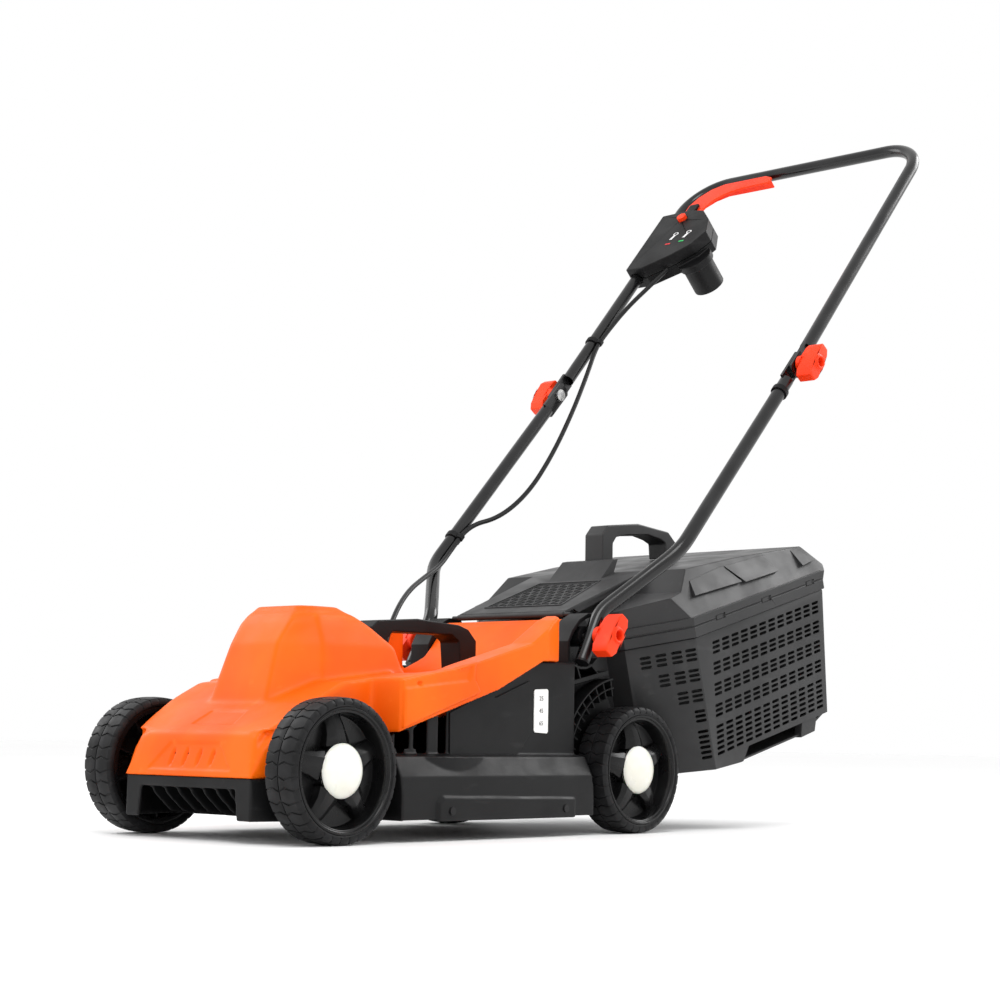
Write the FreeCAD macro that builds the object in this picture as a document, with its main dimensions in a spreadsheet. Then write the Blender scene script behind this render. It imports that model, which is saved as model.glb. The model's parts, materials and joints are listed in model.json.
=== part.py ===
import FreeCAD, Part
import Sketcher
import math
import os

# Corded electric push lawn mower, millimetres, +Z up, +Y to the rear, +X to the mower's left.
# Every piece is drawn with the front axle at Y = 0 and then set back by half the overall length,
# so the finished mower stands on Z = 0 with its origin under the middle of its box.

V = FreeCAD.Vector
doc = FreeCAD.newDocument("push_mower")
sheet = doc.addObject("Spreadsheet::Sheet", "Dims")

SIZES = dict(
    # running gear
    wheel_radius=80, tyre_width=46.5, track_half=179.5, wheelbase=522, rim_radius=69.2, cap_radius=29,
    axle_radius=5, run_gap=0.06, height_travel=40,
    # deck
    deck_half=175, deck_front=91, deck_rear=430, deck_base=24, plate_top=98, plate_thick=5, wall=3,
    nose_front=-74, nose_half=108, neck_half=127, tub_half=150, hood_half=165, hood_rear=465, hood_low=70,
    tail_half=122, tail_inner=105, tail_rear=545, skirt_out=3, chute_half=95,
    # drive
    blade_axis=190, tunnel_radius=165.5, blade_length=320, blade_height=30, motor_axis=95, motor_radius=45,
    motor_low=122, motor_high=226, shaft_radius=6, pulley_small=12, pulley_large=36, pulley_low=103,
    belt_wide=10,
    # handle
    tube_radius=9.5, tube_wall=1.2, low_half=148, high_half=217.6, low_y=454, low_z=247, knee_y=471,
    knee_z=278.5, bend_y=548, bend_z=360.6, high_y=817, high_z=641, bar_y=1178, bar_z=1042, corner_radius=70,
    bolt_radius=4, knob_length=58, knob_reach=36, fold_gap=0.3, flat_thick=4, bracket_out=137,
    # power inlet, on the switch box
    inlet_bore=21, inlet_wall=4.5, inlet_depth=18, inlet_length=46,
    # rear flap and grass box
    flap_y=467, flap_z=277, flap_half=93, flap_length=172, flap_slope=21.6, box_half=190, neck_box=96,
    box_wall=2.5, box_slope=15.3, seam_y=617, seam_z=251, seam_length=319,
    cable_radius=3.5,
)

for row, (alias, number) in enumerate(SIZES.items(), start=1):
    sheet.set("B%d" % row, str(number))
    sheet.setAlias("B%d" % row, alias)
doc.recompute()


class Size:
    """A size that carries its number and the sheet expression that drives it."""

    def __init__(self, number, text):
        self.number = float(number)
        self.text = text

    def __add__(self, other):
        other = as_size(other)
        return Size(self.number + other.number, "(%s + %s)" % (self.text, other.text))

    def __sub__(self, other):
        other = as_size(other)
        return Size(self.number - other.number, "(%s - %s)" % (self.text, other.text))

    def __mul__(self, other):
        other = as_size(other)
        return Size(self.number * other.number, "(%s * %s)" % (self.text, other.text))

    def __truediv__(self, other):
        other = as_size(other)
        return Size(self.number / other.number, "(%s / %s)" % (self.text, other.text))

    def __radd__(self, other):
        return as_size(other) + self

    def __rsub__(self, other):
        return as_size(other) - self

    def __rmul__(self, other):
        return as_size(other) * self

    def __neg__(self):
        return 0 - self


def as_size(value):
    return value if isinstance(value, Size) else Size(value, "(%.6f)" % value)


def num(value):
    return as_size(value).number


class Sheet:
    """Reads a driving size by its alias, as S.wheel_radius."""

    def __getattr__(self, alias):
        return Size(sheet.get(alias), "Dims." + alias)


S = Sheet()
SET_BACK = (S.bar_y + S.tube_radius - S.wheel_radius) / 2
HIGH_ANGLE = math.degrees(math.atan2(num(S.bar_z - S.high_z), num(S.bar_y - S.high_y)))
WHEEL_X = S.track_half - S.tyre_width / 2
AXLES = {"front": as_size(0), "rear": S.wheelbase}
SIDES = {"left": 1, "right": -1}
pieces = {}


# ---------------------------------------------------------------- helpers

def bind(item, path, value):
    item.setExpression(path, as_size(value).text)


def place(item, x=0, y=0, z=0, turn=None):
    """Puts a piece's own zero at a point given in the drawing frame, then sets it back."""
    base = (as_size(x), as_size(y) - SET_BACK, as_size(z))
    item.Placement = FreeCAD.Placement(V(*[c.number for c in base]), turn or FreeCAD.Rotation())
    for axis, value in zip("xyz", base):
        bind(item, "Placement.Base." + axis, value)


def body(name, x=0, y=0, z=0, turn=None):
    item = doc.addObject("PartDesign::Body", name)
    item.Label = name
    item.AllowCompound = True
    place(item, x, y, z, turn)
    pieces[name] = item
    return item


def sketch(host, plane, level):
    item = host.newObject("Sketcher::SketchObject", "Sketch")
    origin = [f for f in host.Origin.OriginFeatures if f.Role == plane][0]
    item.AttachmentSupport = [(origin, "")]
    item.MapMode = "FlatFace"
    item.AttachmentOffset = FreeCAD.Placement(V(0, 0, num(level)), FreeCAD.Rotation())
    bind(item, "AttachmentOffset.Base.z", level)
    return item


def pin_point(item, edge, end, x, y):
    """Fixes one sketch point by two distances from the sketch's zero."""
    for kind, value, axis in (("DistanceX", x, -2), ("DistanceY", y, -1)):
        if num(value) == 0:
            item.addConstraint(Sketcher.Constraint("PointOnObject", edge, end, axis))
        else:
            row = item.addConstraint(Sketcher.Constraint(kind, -1, 1, edge, end, num(value)))
            bind(item, "Constraints[%d]" % row, value)


def draw(item, points):
    """Closed straight-sided outline; every corner is bound to its sizes."""
    first = item.GeometryCount
    count = len(points)
    flat = [V(num(x), num(y), 0) for x, y in points]
    for i in range(count):
        item.addGeometry(Part.LineSegment(flat[i], flat[(i + 1) % count]), False)
    for i in range(count):
        item.addConstraint(Sketcher.Constraint("Coincident", first + i, 2, first + (i + 1) % count, 1))
    for i, (x, y) in enumerate(points):
        pin_point(item, first + i, 1, x, y)


def draw_circle(item, x, y, radius):
    edge = item.addGeometry(Part.Circle(V(num(x), num(y), 0), V(0, 0, 1), num(radius)), False)
    pin_point(item, edge, 3, x, y)
    row = item.addConstraint(Sketcher.Constraint("Radius", edge, num(radius)))
    bind(item, "Constraints[%d]" % row, radius)


def feature(host, kind, shape, low, high):
    """Pads or pockets outlines between two levels along +X, +Y or +Z of the body."""
    plane, outlines = shape
    adding = kind == "PartDesign::Pad"
    if plane == "XZ_Plane":
        level = -(as_size(high) if adding else as_size(low))
    else:
        level = as_size(low) if adding else as_size(high)
    drawn = sketch(host, plane, level)
    for outline in outlines:
        if isinstance(outline, tuple):
            draw_circle(drawn, *outline)
        else:
            draw(drawn, outline)
    item = host.newObject(kind, kind.split("::")[1])
    item.Profile = drawn
    bind(item, "Length", as_size(high) - low)
    host.Tip = item
    return item


def add(host, plane, outlines, low, high):
    return feature(host, "PartDesign::Pad", (plane, outlines), low, high)


def cut(host, plane, outlines, low, high):
    return feature(host, "PartDesign::Pocket", (plane, outlines), low, high)


def turned(host, points):
    """A turned piece: points are (radius, height), turned about the body's own Z."""
    drawn = sketch(host, "XZ_Plane", 0)
    draw(drawn, points)
    item = host.newObject("PartDesign::Revolution", "Revolution")
    item.Profile = drawn
    item.ReferenceAxis = (drawn, ["V_Axis"])
    item.Angle = 360
    host.Tip = item
    return item


def around(host, item, count):
    """Repeats one feature round the body's own Z."""
    pattern = host.newObject("PartDesign::PolarPattern", "PolarPattern")
    pattern.Originals = [item]
    pattern.Axis = ([f for f in host.Origin.OriginFeatures if f.Role == "Z_Axis"][0], [""])
    pattern.Angle = 360
    pattern.Occurrences = count
    host.Tip = pattern
    return pattern


def loft(host, kind, sections):
    """sections: (level, outline) from the bottom up."""
    drawn = []
    for level, outline in sections:
        drawn.append(sketch(host, "XY_Plane", level))
        draw(drawn[-1], outline)
    item = host.newObject(kind, kind.split("::")[1])
    item.Profile = drawn[0]
    item.Sections = drawn[1:]
    item.Ruled = True
    host.Tip = item
    return item


def both(points):
    """Half outline on the +X side, closed by its mirror image."""
    return list(points) + [(-as_size(x), y) for x, y in reversed(points)]


def box(x0, y0, x1, y1):
    return [(x0, y0), (x1, y0), (x1, y1), (x0, y1)]


def rounded_path(points, radii):
    """Straight runs joined by tangent arcs; radii has one value for each inner point."""
    edges = []
    start = points[0]
    for i, radius in enumerate(radii, start=1):
        into = (points[i] - points[i - 1]).normalize()
        away = (points[i + 1] - points[i]).normalize()
        turn = into.getAngle(away)
        reach = radius * math.tan(turn / 2)
        first = points[i] - into * reach
        last = points[i] + away * reach
        inward = (away - into).normalize()
        middle = points[i] + inward * (radius / math.cos(turn / 2) - radius)
        edges.append(Part.LineSegment(start, first).toShape())
        edges.append(Part.Arc(first, middle, last).toShape())
        start = last
    edges.append(Part.LineSegment(start, points[-1]).toShape())
    return Part.Wire(edges)


def swept(path, radius):
    start = path.Edges[0].valueAt(path.Edges[0].FirstParameter)
    along = path.Edges[0].tangentAt(path.Edges[0].FirstParameter)
    ring = Part.Wire([Part.makeCircle(radius, start, along)])
    return path.makePipeShell([ring], True, False)


def shaped(name, shape):
    """A bent piece whose shape follows a path in space."""
    item = doc.addObject("Part::Feature", name)
    item.Label = name
    item.Shape = shape
    place(item)
    pieces[name] = item
    return item


def tube_shape(points, radii):
    path = rounded_path(points, radii)
    return swept(path, num(S.tube_radius)).cut(swept(path, num(S.tube_radius - S.tube_wall)))


def cylinder(radius, low, high):
    """Round bar between two points."""
    return Part.makeCylinder(radius, (high - low).Length, low, high - low)


# ---------------------------------------------------------------- wheels and axles

def make_wheels():
    half = S.tyre_width / 2
    for end, axle_y in AXLES.items():
        for side, sign in SIDES.items():
            tag = "%s_%s" % (end, side)
            turn = FreeCAD.Rotation(V(0, 1, 0), 90 * sign)
            spot = (sign * WHEEL_X, axle_y, S.wheel_radius, turn)

            tyre = body("tyre_" + tag, *spot)
            tread = S.wheel_radius
            turned(tyre, [(S.rim_radius, -half), (tread - 4, -half), (tread - 1.2, 4 - half), (tread, 12 - half),
                          (tread, half - 12), (tread - 1.2, half - 4), (tread - 4, half), (S.rim_radius, half)])

            rim = body("rim_" + tag, *spot)
            bore = S.axle_radius + S.run_gap
            hub = S.cap_radius + 1
            rim_in = S.rim_radius - 7
            turned(rim, [(bore, 2 - half), (hub - 12, 2 - half), (hub - 12, -2), (rim_in, -2), (rim_in, 3 - half),
                         (S.rim_radius, 2 - half), (S.rim_radius, half - 1), (rim_in, half - 2), (rim_in, 6),
                         (hub, 6), (hub, 14), (hub - 4, 14), (hub - 4, 8), (bore, 8)])
            reach = rim_in - 2
            window = [(hub + 2, 9), (reach * 0.93, 17), (reach * 0.99, 0), (reach * 0.93, -17), (hub + 2, -9)]
            around(rim, cut(rim, "XY_Plane", [window], 1, 7), 5)

            cap = body("cap_" + tag, *spot)
            turned(cap, [(0, 20), (0, 22), (S.cap_radius - 12, 21), (S.cap_radius - 2, 18), (S.cap_radius, 14.3),
                         (S.cap_radius - 2, 14.3), (S.cap_radius - 4, 16.5), (S.cap_radius - 13, 19)])


def make_axles():
    for end, axle_y in AXLES.items():
        turn = FreeCAD.Rotation(V(0, 1, 0), 90)
        outer = WHEEL_X + 14
        rod = body("%s_axle" % end, 0, axle_y, S.wheel_radius, turn)
        add(rod, "XY_Plane", [(0, 0, S.axle_radius)], -outer, outer)

        clips = body("%s_axle_clips" % end, 0, axle_y, S.wheel_radius, turn)
        rings = [(0, 0, S.axle_radius + 5), (0, 0, S.axle_radius)]
        for inner in (WHEEL_X + 8.4, WHEEL_X - S.tyre_width / 2 - 1.5):
            add(clips, "XY_Plane", [rings[0], rings[1]], inner, inner + 3)
            add(clips, "XY_Plane", [rings[0], rings[1]], -inner - 3, -inner)


# ---------------------------------------------------------------- deck

def hood_edge(drop=0):
    """Lower edge of the hood's side, from behind the front wheel to the rear."""
    return [(S.deck_front - 4, 120 - drop), (262, 174 - drop), (344, 211 - drop), (S.deck_rear - 9, 213 - drop)]


def make_deck():
    deck = body("deck_shell")
    lower = both([(S.deck_half, S.deck_base), (S.deck_half, 52), (S.deck_half - 3, 73),
                  (S.deck_half - 15, S.plate_top - 2), (S.tub_half, S.plate_top)])
    add(deck, "XZ_Plane", [lower], S.deck_front, S.deck_rear)
    nose = both([(S.nose_half - 2, S.nose_front + 2), (S.nose_half + 10, -30), (S.neck_half - 1, 15),
                 (S.neck_half - 1, S.deck_front + 2)])
    add(deck, "XY_Plane", [nose], S.deck_base, S.hood_low - 0.3)
    collar = both([(S.nose_half - 14, S.nose_front + 14), (S.nose_half - 8, -28), (S.neck_half - 12, 14),
                   (S.neck_half - 12, S.deck_front + 2)])
    add(deck, "XY_Plane", [collar], S.hood_low - 4, S.plate_top)
    edge = hood_edge(0.4)
    tub = [(S.deck_front, S.plate_top - 2)] + [(S.deck_front, 118)] + edge[1:] + [(S.deck_rear - 9, S.plate_top - 2)]
    add(deck, "YZ_Plane", [tub], -S.tub_half, S.tub_half)

    inner = S.deck_half - S.wall
    roof = S.plate_top - S.plate_thick
    hollow = both([(inner, S.deck_base - 1), (inner, 51), (inner - 3, 71), (inner - 14, roof)])
    cut(deck, "XZ_Plane", [hollow], S.deck_front + S.wall, S.deck_rear - S.wall)
    nose_in = both([(S.nose_half - 6, S.nose_front + 6), (S.nose_half + 6, -28), (S.neck_half - 5, 14),
                    (S.neck_half - 5, 18)])
    cut(deck, "XY_Plane", [nose_in], S.deck_base - 1, S.hood_low - 4)
    collar_in = both([(S.nose_half - 17, S.nose_front + 17), (S.nose_half - 11, -28), (S.neck_half - 15, 14),
                      (S.neck_half - 15, 18)])
    cut(deck, "XY_Plane", [collar_in], S.hood_low - 5, S.plate_top + 1)
    neck = S.neck_half - 12 - S.wall
    cut(deck, "XY_Plane", [box(-neck, 22, neck, S.deck_front + S.wall + 1)], S.deck_base - 1,
        S.plate_top - S.plate_thick)
    cut(deck, "XY_Plane", [(0, S.blade_axis, S.tunnel_radius)], S.deck_base - 1, S.blade_height + 30)
    tub_in = S.tub_half - S.wall
    cut(deck, "XY_Plane", [box(-tub_in, S.deck_front + S.wall, tub_in, S.deck_rear - 9 - S.wall)],
        S.plate_top, 260)
    cut(deck, "XZ_Plane", [box(-60, S.plate_top, 60, 130)], S.deck_front - 1, S.deck_front + S.wall + 1)
    add(deck, "XY_Plane", [(0, S.blade_axis, S.tunnel_radius + S.wall), (0, S.blade_axis, S.tunnel_radius)],
        S.deck_base, S.plate_top - 2)

    # discharge chute, rising from the tunnel's rear to the mouth of the grass box
    chute_out = S.chute_half + S.wall
    chute_rear = S.hood_rear + 6
    add(deck, "YZ_Plane", [[(270, S.plate_top - 2), (392, 184), (chute_rear, 236), (chute_rear, 104),
                            (S.deck_rear, 60), (S.deck_rear - 9, 60)]], -chute_out, chute_out)
    cut(deck, "YZ_Plane", [[(262, S.plate_top - 12), (300, S.plate_top - 2), (396, 180), (chute_rear + 1, 232),
                            (chute_rear + 1, 109), (S.deck_rear + 2, 66), (S.deck_rear - 60, 20),
                            (262, 20)]], -S.chute_half, S.chute_half)
    cut(deck, "XY_Plane", [(0, S.blade_axis, 14)], S.plate_top - S.plate_thick - 1, S.plate_top + 1)

    # tail plates beside the grass box mouth, arched over the rear wheels
    for sign in SIDES.values():
        inside, outside = sorted((sign * S.tail_inner, sign * S.tail_half), key=num)
        tail = [(S.deck_rear - 9, 28), (S.deck_rear - 9, 181), (505, 198), (S.tail_rear - 16, 165),
                (S.tail_rear, 120), (S.tail_rear, 28)]
        add(deck, "YZ_Plane", [tail], inside, outside)
        arch = [arc_point(S.wheelbase, S.wheel_radius, 105, a) for a in (96, 110, 124, 138, 152, 166)]
        arch += [arc_point(S.wheelbase, S.wheel_radius, 91, a) for a in (166, 152, 138, 124, 110, 96)]
        lip = sorted((sign * S.tail_inner, sign * (S.track_half - S.tyre_width - 1.5)), key=num)
        add(deck, "YZ_Plane", [arch], lip[0], lip[1])
        skirt = sorted((sign * (S.deck_half - 1), sign * (S.deck_half + S.skirt_out)), key=num)
        add(deck, "YZ_Plane", [[(148, S.deck_base - 1), (148, 44), (156, 50), (391, 46), (391, S.deck_base - 1)]],
            skirt[0], skirt[1])
        web = sorted((sign * (S.tail_inner - 8), sign * S.tail_inner), key=num)
        add(deck, "XZ_Plane", [[(web[0], 50), (web[1], 50), (web[1], 170), (web[0], 170)]], S.deck_rear - 9,
            S.deck_rear + 12)

    # slots that carry the axles: the cut is raised by setting the axle lower in them
    for axle_y in AXLES.values():
        slot = S.axle_radius + 0.1
        rise = S.height_travel + slot
        for sign in SIDES.values():
            span = sorted((sign * 88, sign * 131), key=num)
            cut(deck, "YZ_Plane", [box(axle_y - slot, S.wheel_radius - rise, axle_y + slot,
                                       S.wheel_radius + slot)], span[0], span[1])

    # cooling slots behind each front wheel
    for step in range(3):
        start = S.deck_front + 12 + 15 * step
        for sign in SIDES.values():
            span = sorted((sign * (S.tub_half - S.wall - 1), sign * (S.tub_half + 1)), key=num)
            cut(deck, "YZ_Plane", [box(start, 104, start + 8, 122 + 3 * step)], span[0], span[1])

    # front window with its comb of hanging ribs
    cut(deck, "XZ_Plane", [[(-84, S.deck_base - 1), (84, S.deck_base - 1), (80, 58), (-80, 58)]],
        S.nose_front - 1, S.nose_front + 8)
    add(deck, "XY_Plane", [box(-95, S.nose_front + 3, 95, -12)], 60, 63)
    for step in range(7):
        middle = -66 + 22 * step
        add(deck, "YZ_Plane", [[(S.nose_front + 4, 61), (S.nose_front + 10, 50), (-40, 30), (-14, 26), (-14, 32),
                                (-30, 61)]], middle - 1.5, middle + 1.5)
    return deck


def arc_point(y, z, radius, degrees):
    angle = math.radians(degrees)
    return (y + radius * math.cos(angle), z + radius * math.sin(angle))


def make_hood():
    hood = body("hood")
    top = [(-59, 119), (-1, 155), (45, 178), (184, 195), (322, 232), (371, 263), (387, 269), (S.hood_rear, 270)]
    belly = [(S.hood_rear, 215), (S.deck_rear - 12, 215), (S.deck_rear - 20, 180), (262, 150), (S.deck_front - 4, 120),
             (58, S.hood_low + 2)]
    add(hood, "YZ_Plane", [[(S.nose_front, S.hood_low)] + top + belly], -S.hood_half, S.hood_half)
    wide = S.hood_half + 10
    for sign in SIDES.values():
        below = hood_edge() + [(S.deck_rear - 9, 60), (S.deck_front - 4, 60)]
        span = sorted((sign * (S.tub_half - S.wall - 0.5), sign * wide), key=num)
        cut(hood, "YZ_Plane", [below], span[0], span[1])
        span = sorted((sign * 98, sign * 130), key=num)
        cut(hood, "YZ_Plane", [box(-6, 60, 6, S.wheel_radius + S.axle_radius + 1)], span[0], span[1])
        cut(hood, "YZ_Plane", [(S.low_y, S.low_z, 11)], span[0], span[1])
    for sign in SIDES.values():
        front = [(S.nose_half, -90), (S.nose_half, S.nose_front), (S.nose_half + 12, -30), (S.neck_half, 15),
                 (S.neck_half + 1, 86), (S.hood_half + 0.5, S.deck_front + 4), (wide, S.deck_front), (wide, -90)]
        rear = [(S.hood_half + 0.5, 350), (S.hood_half - 10, 383), (S.tail_inner - 1, 414), (S.tail_inner - 1, 480),
                (wide, 480), (wide, 350)]
        for corner in (front, rear):
            cut(hood, "XY_Plane", [[(sign * as_size(x), y) for x, y in corner]], 40, 300)
        taper = [(sign * (S.nose_half + 1), 69), (sign * (S.nose_half - 19), 119), (sign * (S.nose_half - 19), 122),
                 (sign * (S.nose_half + 14), 122), (sign * (S.nose_half + 14), 69)]
        cut(hood, "XZ_Plane", [taper], -80, -45)

    # valley under the carry handle
    valley = [(160, 172), (388, 196), (452, 266), (452, 300), (160, 300)]
    cut(hood, "YZ_Plane", [valley], -128, 128)

    # hollow inside: one cut along the middle and one inside each side rim
    skin = S.wall
    middle = [(-70, 60), (-56, 115), (1, 151), (46, 174), (156, 186), (159, 168), (390, 192), (452, 259),
              (S.hood_rear - skin, 262), (S.hood_rear - skin, 60)]
    cut(hood, "YZ_Plane", [middle], -(S.nose_half - 6), S.nose_half - 6)
    for sign in SIDES.values():
        strip = sorted((sign * (S.nose_half - 7), sign * (S.nose_half + 8)), key=num)
        cut(hood, "YZ_Plane", [[(-24, 60), (-24, 132), (46, 174), (90, 179), (156, 186), (159, 168), (388, 190),
                                (405, 205), (405, 60)]], strip[0], strip[1])
        room = sorted((sign * (S.nose_half + 7), sign * (S.neck_half - 5)), key=num)
        cut(hood, "YZ_Plane", [box(52, 60, S.deck_front + 2, S.plate_top + 2)], room[0], room[1])
        rim = sorted((sign * 131, sign * (S.hood_half - skin)), key=num)
        cut(hood, "YZ_Plane", [[(S.deck_front + skin + 6, 60), (S.deck_front + skin + 6, 179), (184, 191),
                                (322, 228), (345, 243), (345, 60)]], rim[0], rim[1])
        cut(hood, "XY_Plane", [[(sign * as_size(x), y) for x, y in ((131, 344), (S.hood_half - 4, 344),
                                                                    (152, 379), (131, 391))]], 60, 240)
        join = sorted((sign * (S.neck_half - 6), sign * 132), key=num)
        cut(hood, "YZ_Plane", [[(S.deck_front + skin + 6, 60), (S.deck_front + skin + 6, 168), (156, 168),
                                (388, 190), (388, 60)]], join[0], join[1])

    # motor dome: narrow front facet, slanted sides, flat top
    def ring(shrink):
        base = both([(49 - shrink, -4 + shrink), (88 - shrink, 48 + shrink), (99 - shrink, 194 - shrink)])
        crease = both([(41 - shrink, 20 + shrink), (72 - shrink, 66 + shrink), (78 - shrink, 176 - shrink)])
        crown = both([(43 - shrink, 54 + shrink), (54 - shrink, 72 + shrink), (56 - shrink, 150 - shrink)])
        return base, crease, crown

    base, crease, crown = ring(0)
    loft(hood, "PartDesign::AdditiveLoft", [(150, base), (222, crease), (267, crown)])
    base, crease, crown = ring(4)
    loft(hood, "PartDesign::SubtractiveLoft", [(149, base), (220, crease), (263, crown)])

    # mouth for the discharge chute and the hole for the cable gland
    mouth = S.chute_half + S.wall + 0.5
    cut(hood, "XZ_Plane", [box(-mouth, 205, mouth, 237)], S.hood_rear - 8, S.hood_rear + 1)
    cut(hood, "XY_Plane", [(-97, 326, S.cable_radius + 5)], 180, 195)


def make_carry_handle():
    handle = body("carry_handle")
    outer = [(196, 175.9), (196, 250), (206, 258), (275, 263), (350, 259), (368, 254), (383, 240), (383, 195.6)]
    add(handle, "YZ_Plane", [outer], -17, 17)
    gap = [(221, 160), (223, 236), (232, 245), (336, 246), (350, 238), (358, 160)]
    cut(handle, "YZ_Plane", [gap], -18, 18)


def make_brackets():
    for side, sign in SIDES.items():
        bracket = body("handle_bracket_" + side)
        face = sorted((sign * S.tail_inner, sign * S.bracket_out), key=num)
        cheek = [(421, 183), (422, 240), (430, 254), (444, 268), (462, 277), (484, 277), (495, 262), (505, 200)]
        add(bracket, "YZ_Plane", [cheek], face[0], face[1])
        hollow = sorted((sign * (S.tail_inner + 5), sign * (S.bracket_out + 1)), key=num)
        pocket = [(426, 189), (426, 239), (433, 250), (446, 263), (463, 272), (482, 272), (515, 272), (515, 208)]
        cut(bracket, "YZ_Plane", [pocket], hollow[0], hollow[1])
        ribs = sorted((sign * (S.tail_inner + 4), sign * (S.bracket_out - 2)), key=num)
        fan = [arc_point(S.low_y, S.low_z, 42, a) for a in (228, 246, 264, 282, 300, 318)]
        fan += [arc_point(S.low_y, S.low_z, 39, a) for a in (318, 300, 282, 264, 246, 228)]
        add(bracket, "YZ_Plane", [fan], ribs[0], ribs[1])
        for low, foot, floor in ((440, 450, 190), (468, 488, 198)):
            add(bracket, "YZ_Plane", [[(low, 212), (low + 3, 212), (foot + 3, floor + 1), (foot, floor)]],
                ribs[0], ribs[1])
        boss = sorted((sign * S.tail_inner, sign * (S.low_half - S.tube_radius - 0.3)), key=num)
        add(bracket, "YZ_Plane", [(S.low_y, S.low_z, 13)], boss[0], boss[1])
        bore = sorted((sign * (S.tail_inner - 1), sign * S.low_half), key=num)
        cut(bracket, "YZ_Plane", [(S.low_y, S.low_z, S.bolt_radius + 0.05)], bore[0], bore[1])


def make_labels_and_screws():
    labels = body("height_labels")
    for sign in SIDES.values():
        plate = sorted((sign * S.tub_half, sign * (S.tub_half + 1)), key=num)
        add(labels, "YZ_Plane", [[(342, 127), (342, 175), (344, 177), (366, 178), (368, 176), (368, 126), (366, 124), (344, 125)]],
            plate[0], plate[1])

    screws = body("deck_screws")
    for sign in SIDES.values():
        heads = sorted((sign * (S.deck_half + S.skirt_out), sign * (S.deck_half + S.skirt_out + 1.5)), key=num)
        for spot in (170, 372):
            add(screws, "YZ_Plane", [(spot, 34, 4.5)], heads[0], heads[1])


# ---------------------------------------------------------------- drive

def make_drive():
    def round_piece(name, centre, rings):
        item = body(name, 0, centre, 0)
        for radius, hole, low, high in rings:
            add(item, "XY_Plane", [(0, 0, radius), (0, 0, hole)] if hole else [(0, 0, radius)], low, high)
        return item

    shaft = S.shaft_radius
    loose = shaft + S.run_gap
    top = S.pulley_low + S.belt_wide
    round_piece("motor_can", S.motor_axis, [(S.motor_radius, S.motor_radius - 2, S.motor_low + 3, S.motor_high - 3),
                                            (S.motor_radius, loose + 6, S.motor_low, S.motor_low + 3),
                                            (S.motor_radius + 8, loose + 6, top + 4, S.motor_low),
                                            (S.motor_radius, loose + 6, S.motor_high - 3, S.motor_high)])
    bearings = round_piece("bearings", S.motor_axis, [(loose + 6, loose, S.motor_low - 3, S.motor_low + 3),
                                                      (loose + 6, loose, S.motor_high - 3, S.motor_high + 4)])
    spindle_y = S.blade_axis - S.motor_axis
    add(bearings, "XY_Plane", [(0, spindle_y, 14), (0, spindle_y, loose)], S.plate_top - 9, S.plate_top + 2)
    round_piece("armature", S.motor_axis, [(S.motor_radius - 12, shaft, S.motor_low + 20, S.motor_high - 20),
                                           (16, shaft, S.motor_high - 20, S.motor_high - 6)])
    round_piece("motor_shaft", S.motor_axis, [(shaft, None, S.pulley_low, S.motor_high + 4)])
    round_piece("motor_pulley", S.motor_axis, [(S.pulley_small, shaft, S.pulley_low, top),
                                               (S.pulley_small + 3, shaft, top, top + 2)])
    round_piece("blade_pulley", S.blade_axis, [(S.pulley_large, shaft, S.pulley_low, top),
                                               (S.pulley_large + 3, shaft, top, top + 2)])
    round_piece("spindle", S.blade_axis, [(shaft, None, S.blade_height, top + 8)])
    round_piece("blade_carrier", S.blade_axis, [(20, shaft, S.blade_height + 4, S.blade_height + 20),
                                                (52, shaft, S.blade_height + 20, S.blade_height + 24),
                                               (20, shaft, S.blade_height + 24, S.plate_top - 10)])

    magnets = body("motor_magnets", 0, S.motor_axis, 0)
    for sign in SIDES.values():
        inner = S.motor_radius - 10
        outer = S.motor_radius - 2
        fan = [arc_point(0, 0, outer, sign * 90 + a) for a in range(-60, 61, 20)]
        fan += [arc_point(0, 0, inner, sign * 90 + a) for a in range(60, -61, -20)]
        add(magnets, "XY_Plane", [[(x, y) for x, y in fan]], S.motor_low + 20, S.motor_high - 20)

    blade = body("blade", 0, S.blade_axis, 0)
    reach = S.blade_length / 2
    plan = [(-reach, -16), (reach - 60, -22), (reach, -22), (reach, 16), (60 - reach, 22), (-reach, 22)]
    add(blade, "XY_Plane", [plan], S.blade_height, S.blade_height + 4)
    cut(blade, "XY_Plane", [(0, 0, shaft)], S.blade_height - 1, S.blade_height + 5)

    bolt = body("blade_bolt", 0, S.blade_axis, 0)
    hexagon = [arc_point(0, 0, 11, 60 * i) for i in range(6)]
    add(bolt, "XY_Plane", [hexagon], S.blade_height - 10, S.blade_height - 3)
    add(bolt, "XY_Plane", [(0, 0, 16)], S.blade_height - 3, S.blade_height)

    belt = body("drive_belt", 0, 0, 0)
    small = S.pulley_small + S.fold_gap
    large = S.pulley_large + S.fold_gap
    lean = math.degrees(math.acos(num(large - small) / num(S.blade_axis - S.motor_axis)))
    around_both = []
    for extra in (3, 0):
        ends = []
        for centre, radius, middle, half, count in ((S.motor_axis, small, 270, lean, 9),
                                                    (S.blade_axis, large, 90, 180 - lean, 13)):
            outside = (radius + extra) / math.cos(math.radians(half / (count - 1)))
            ends += [arc_point(0, centre, outside, a) for a in spread(middle - half, middle + half, count)]
        around_both.append(ends)
    add(belt, "XY_Plane", around_both, S.pulley_low + 1, top - 1)


def spread(first, last, count):
    return [first + (last - first) * i / (count - 1) for i in range(count)]


# ---------------------------------------------------------------- handle

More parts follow.
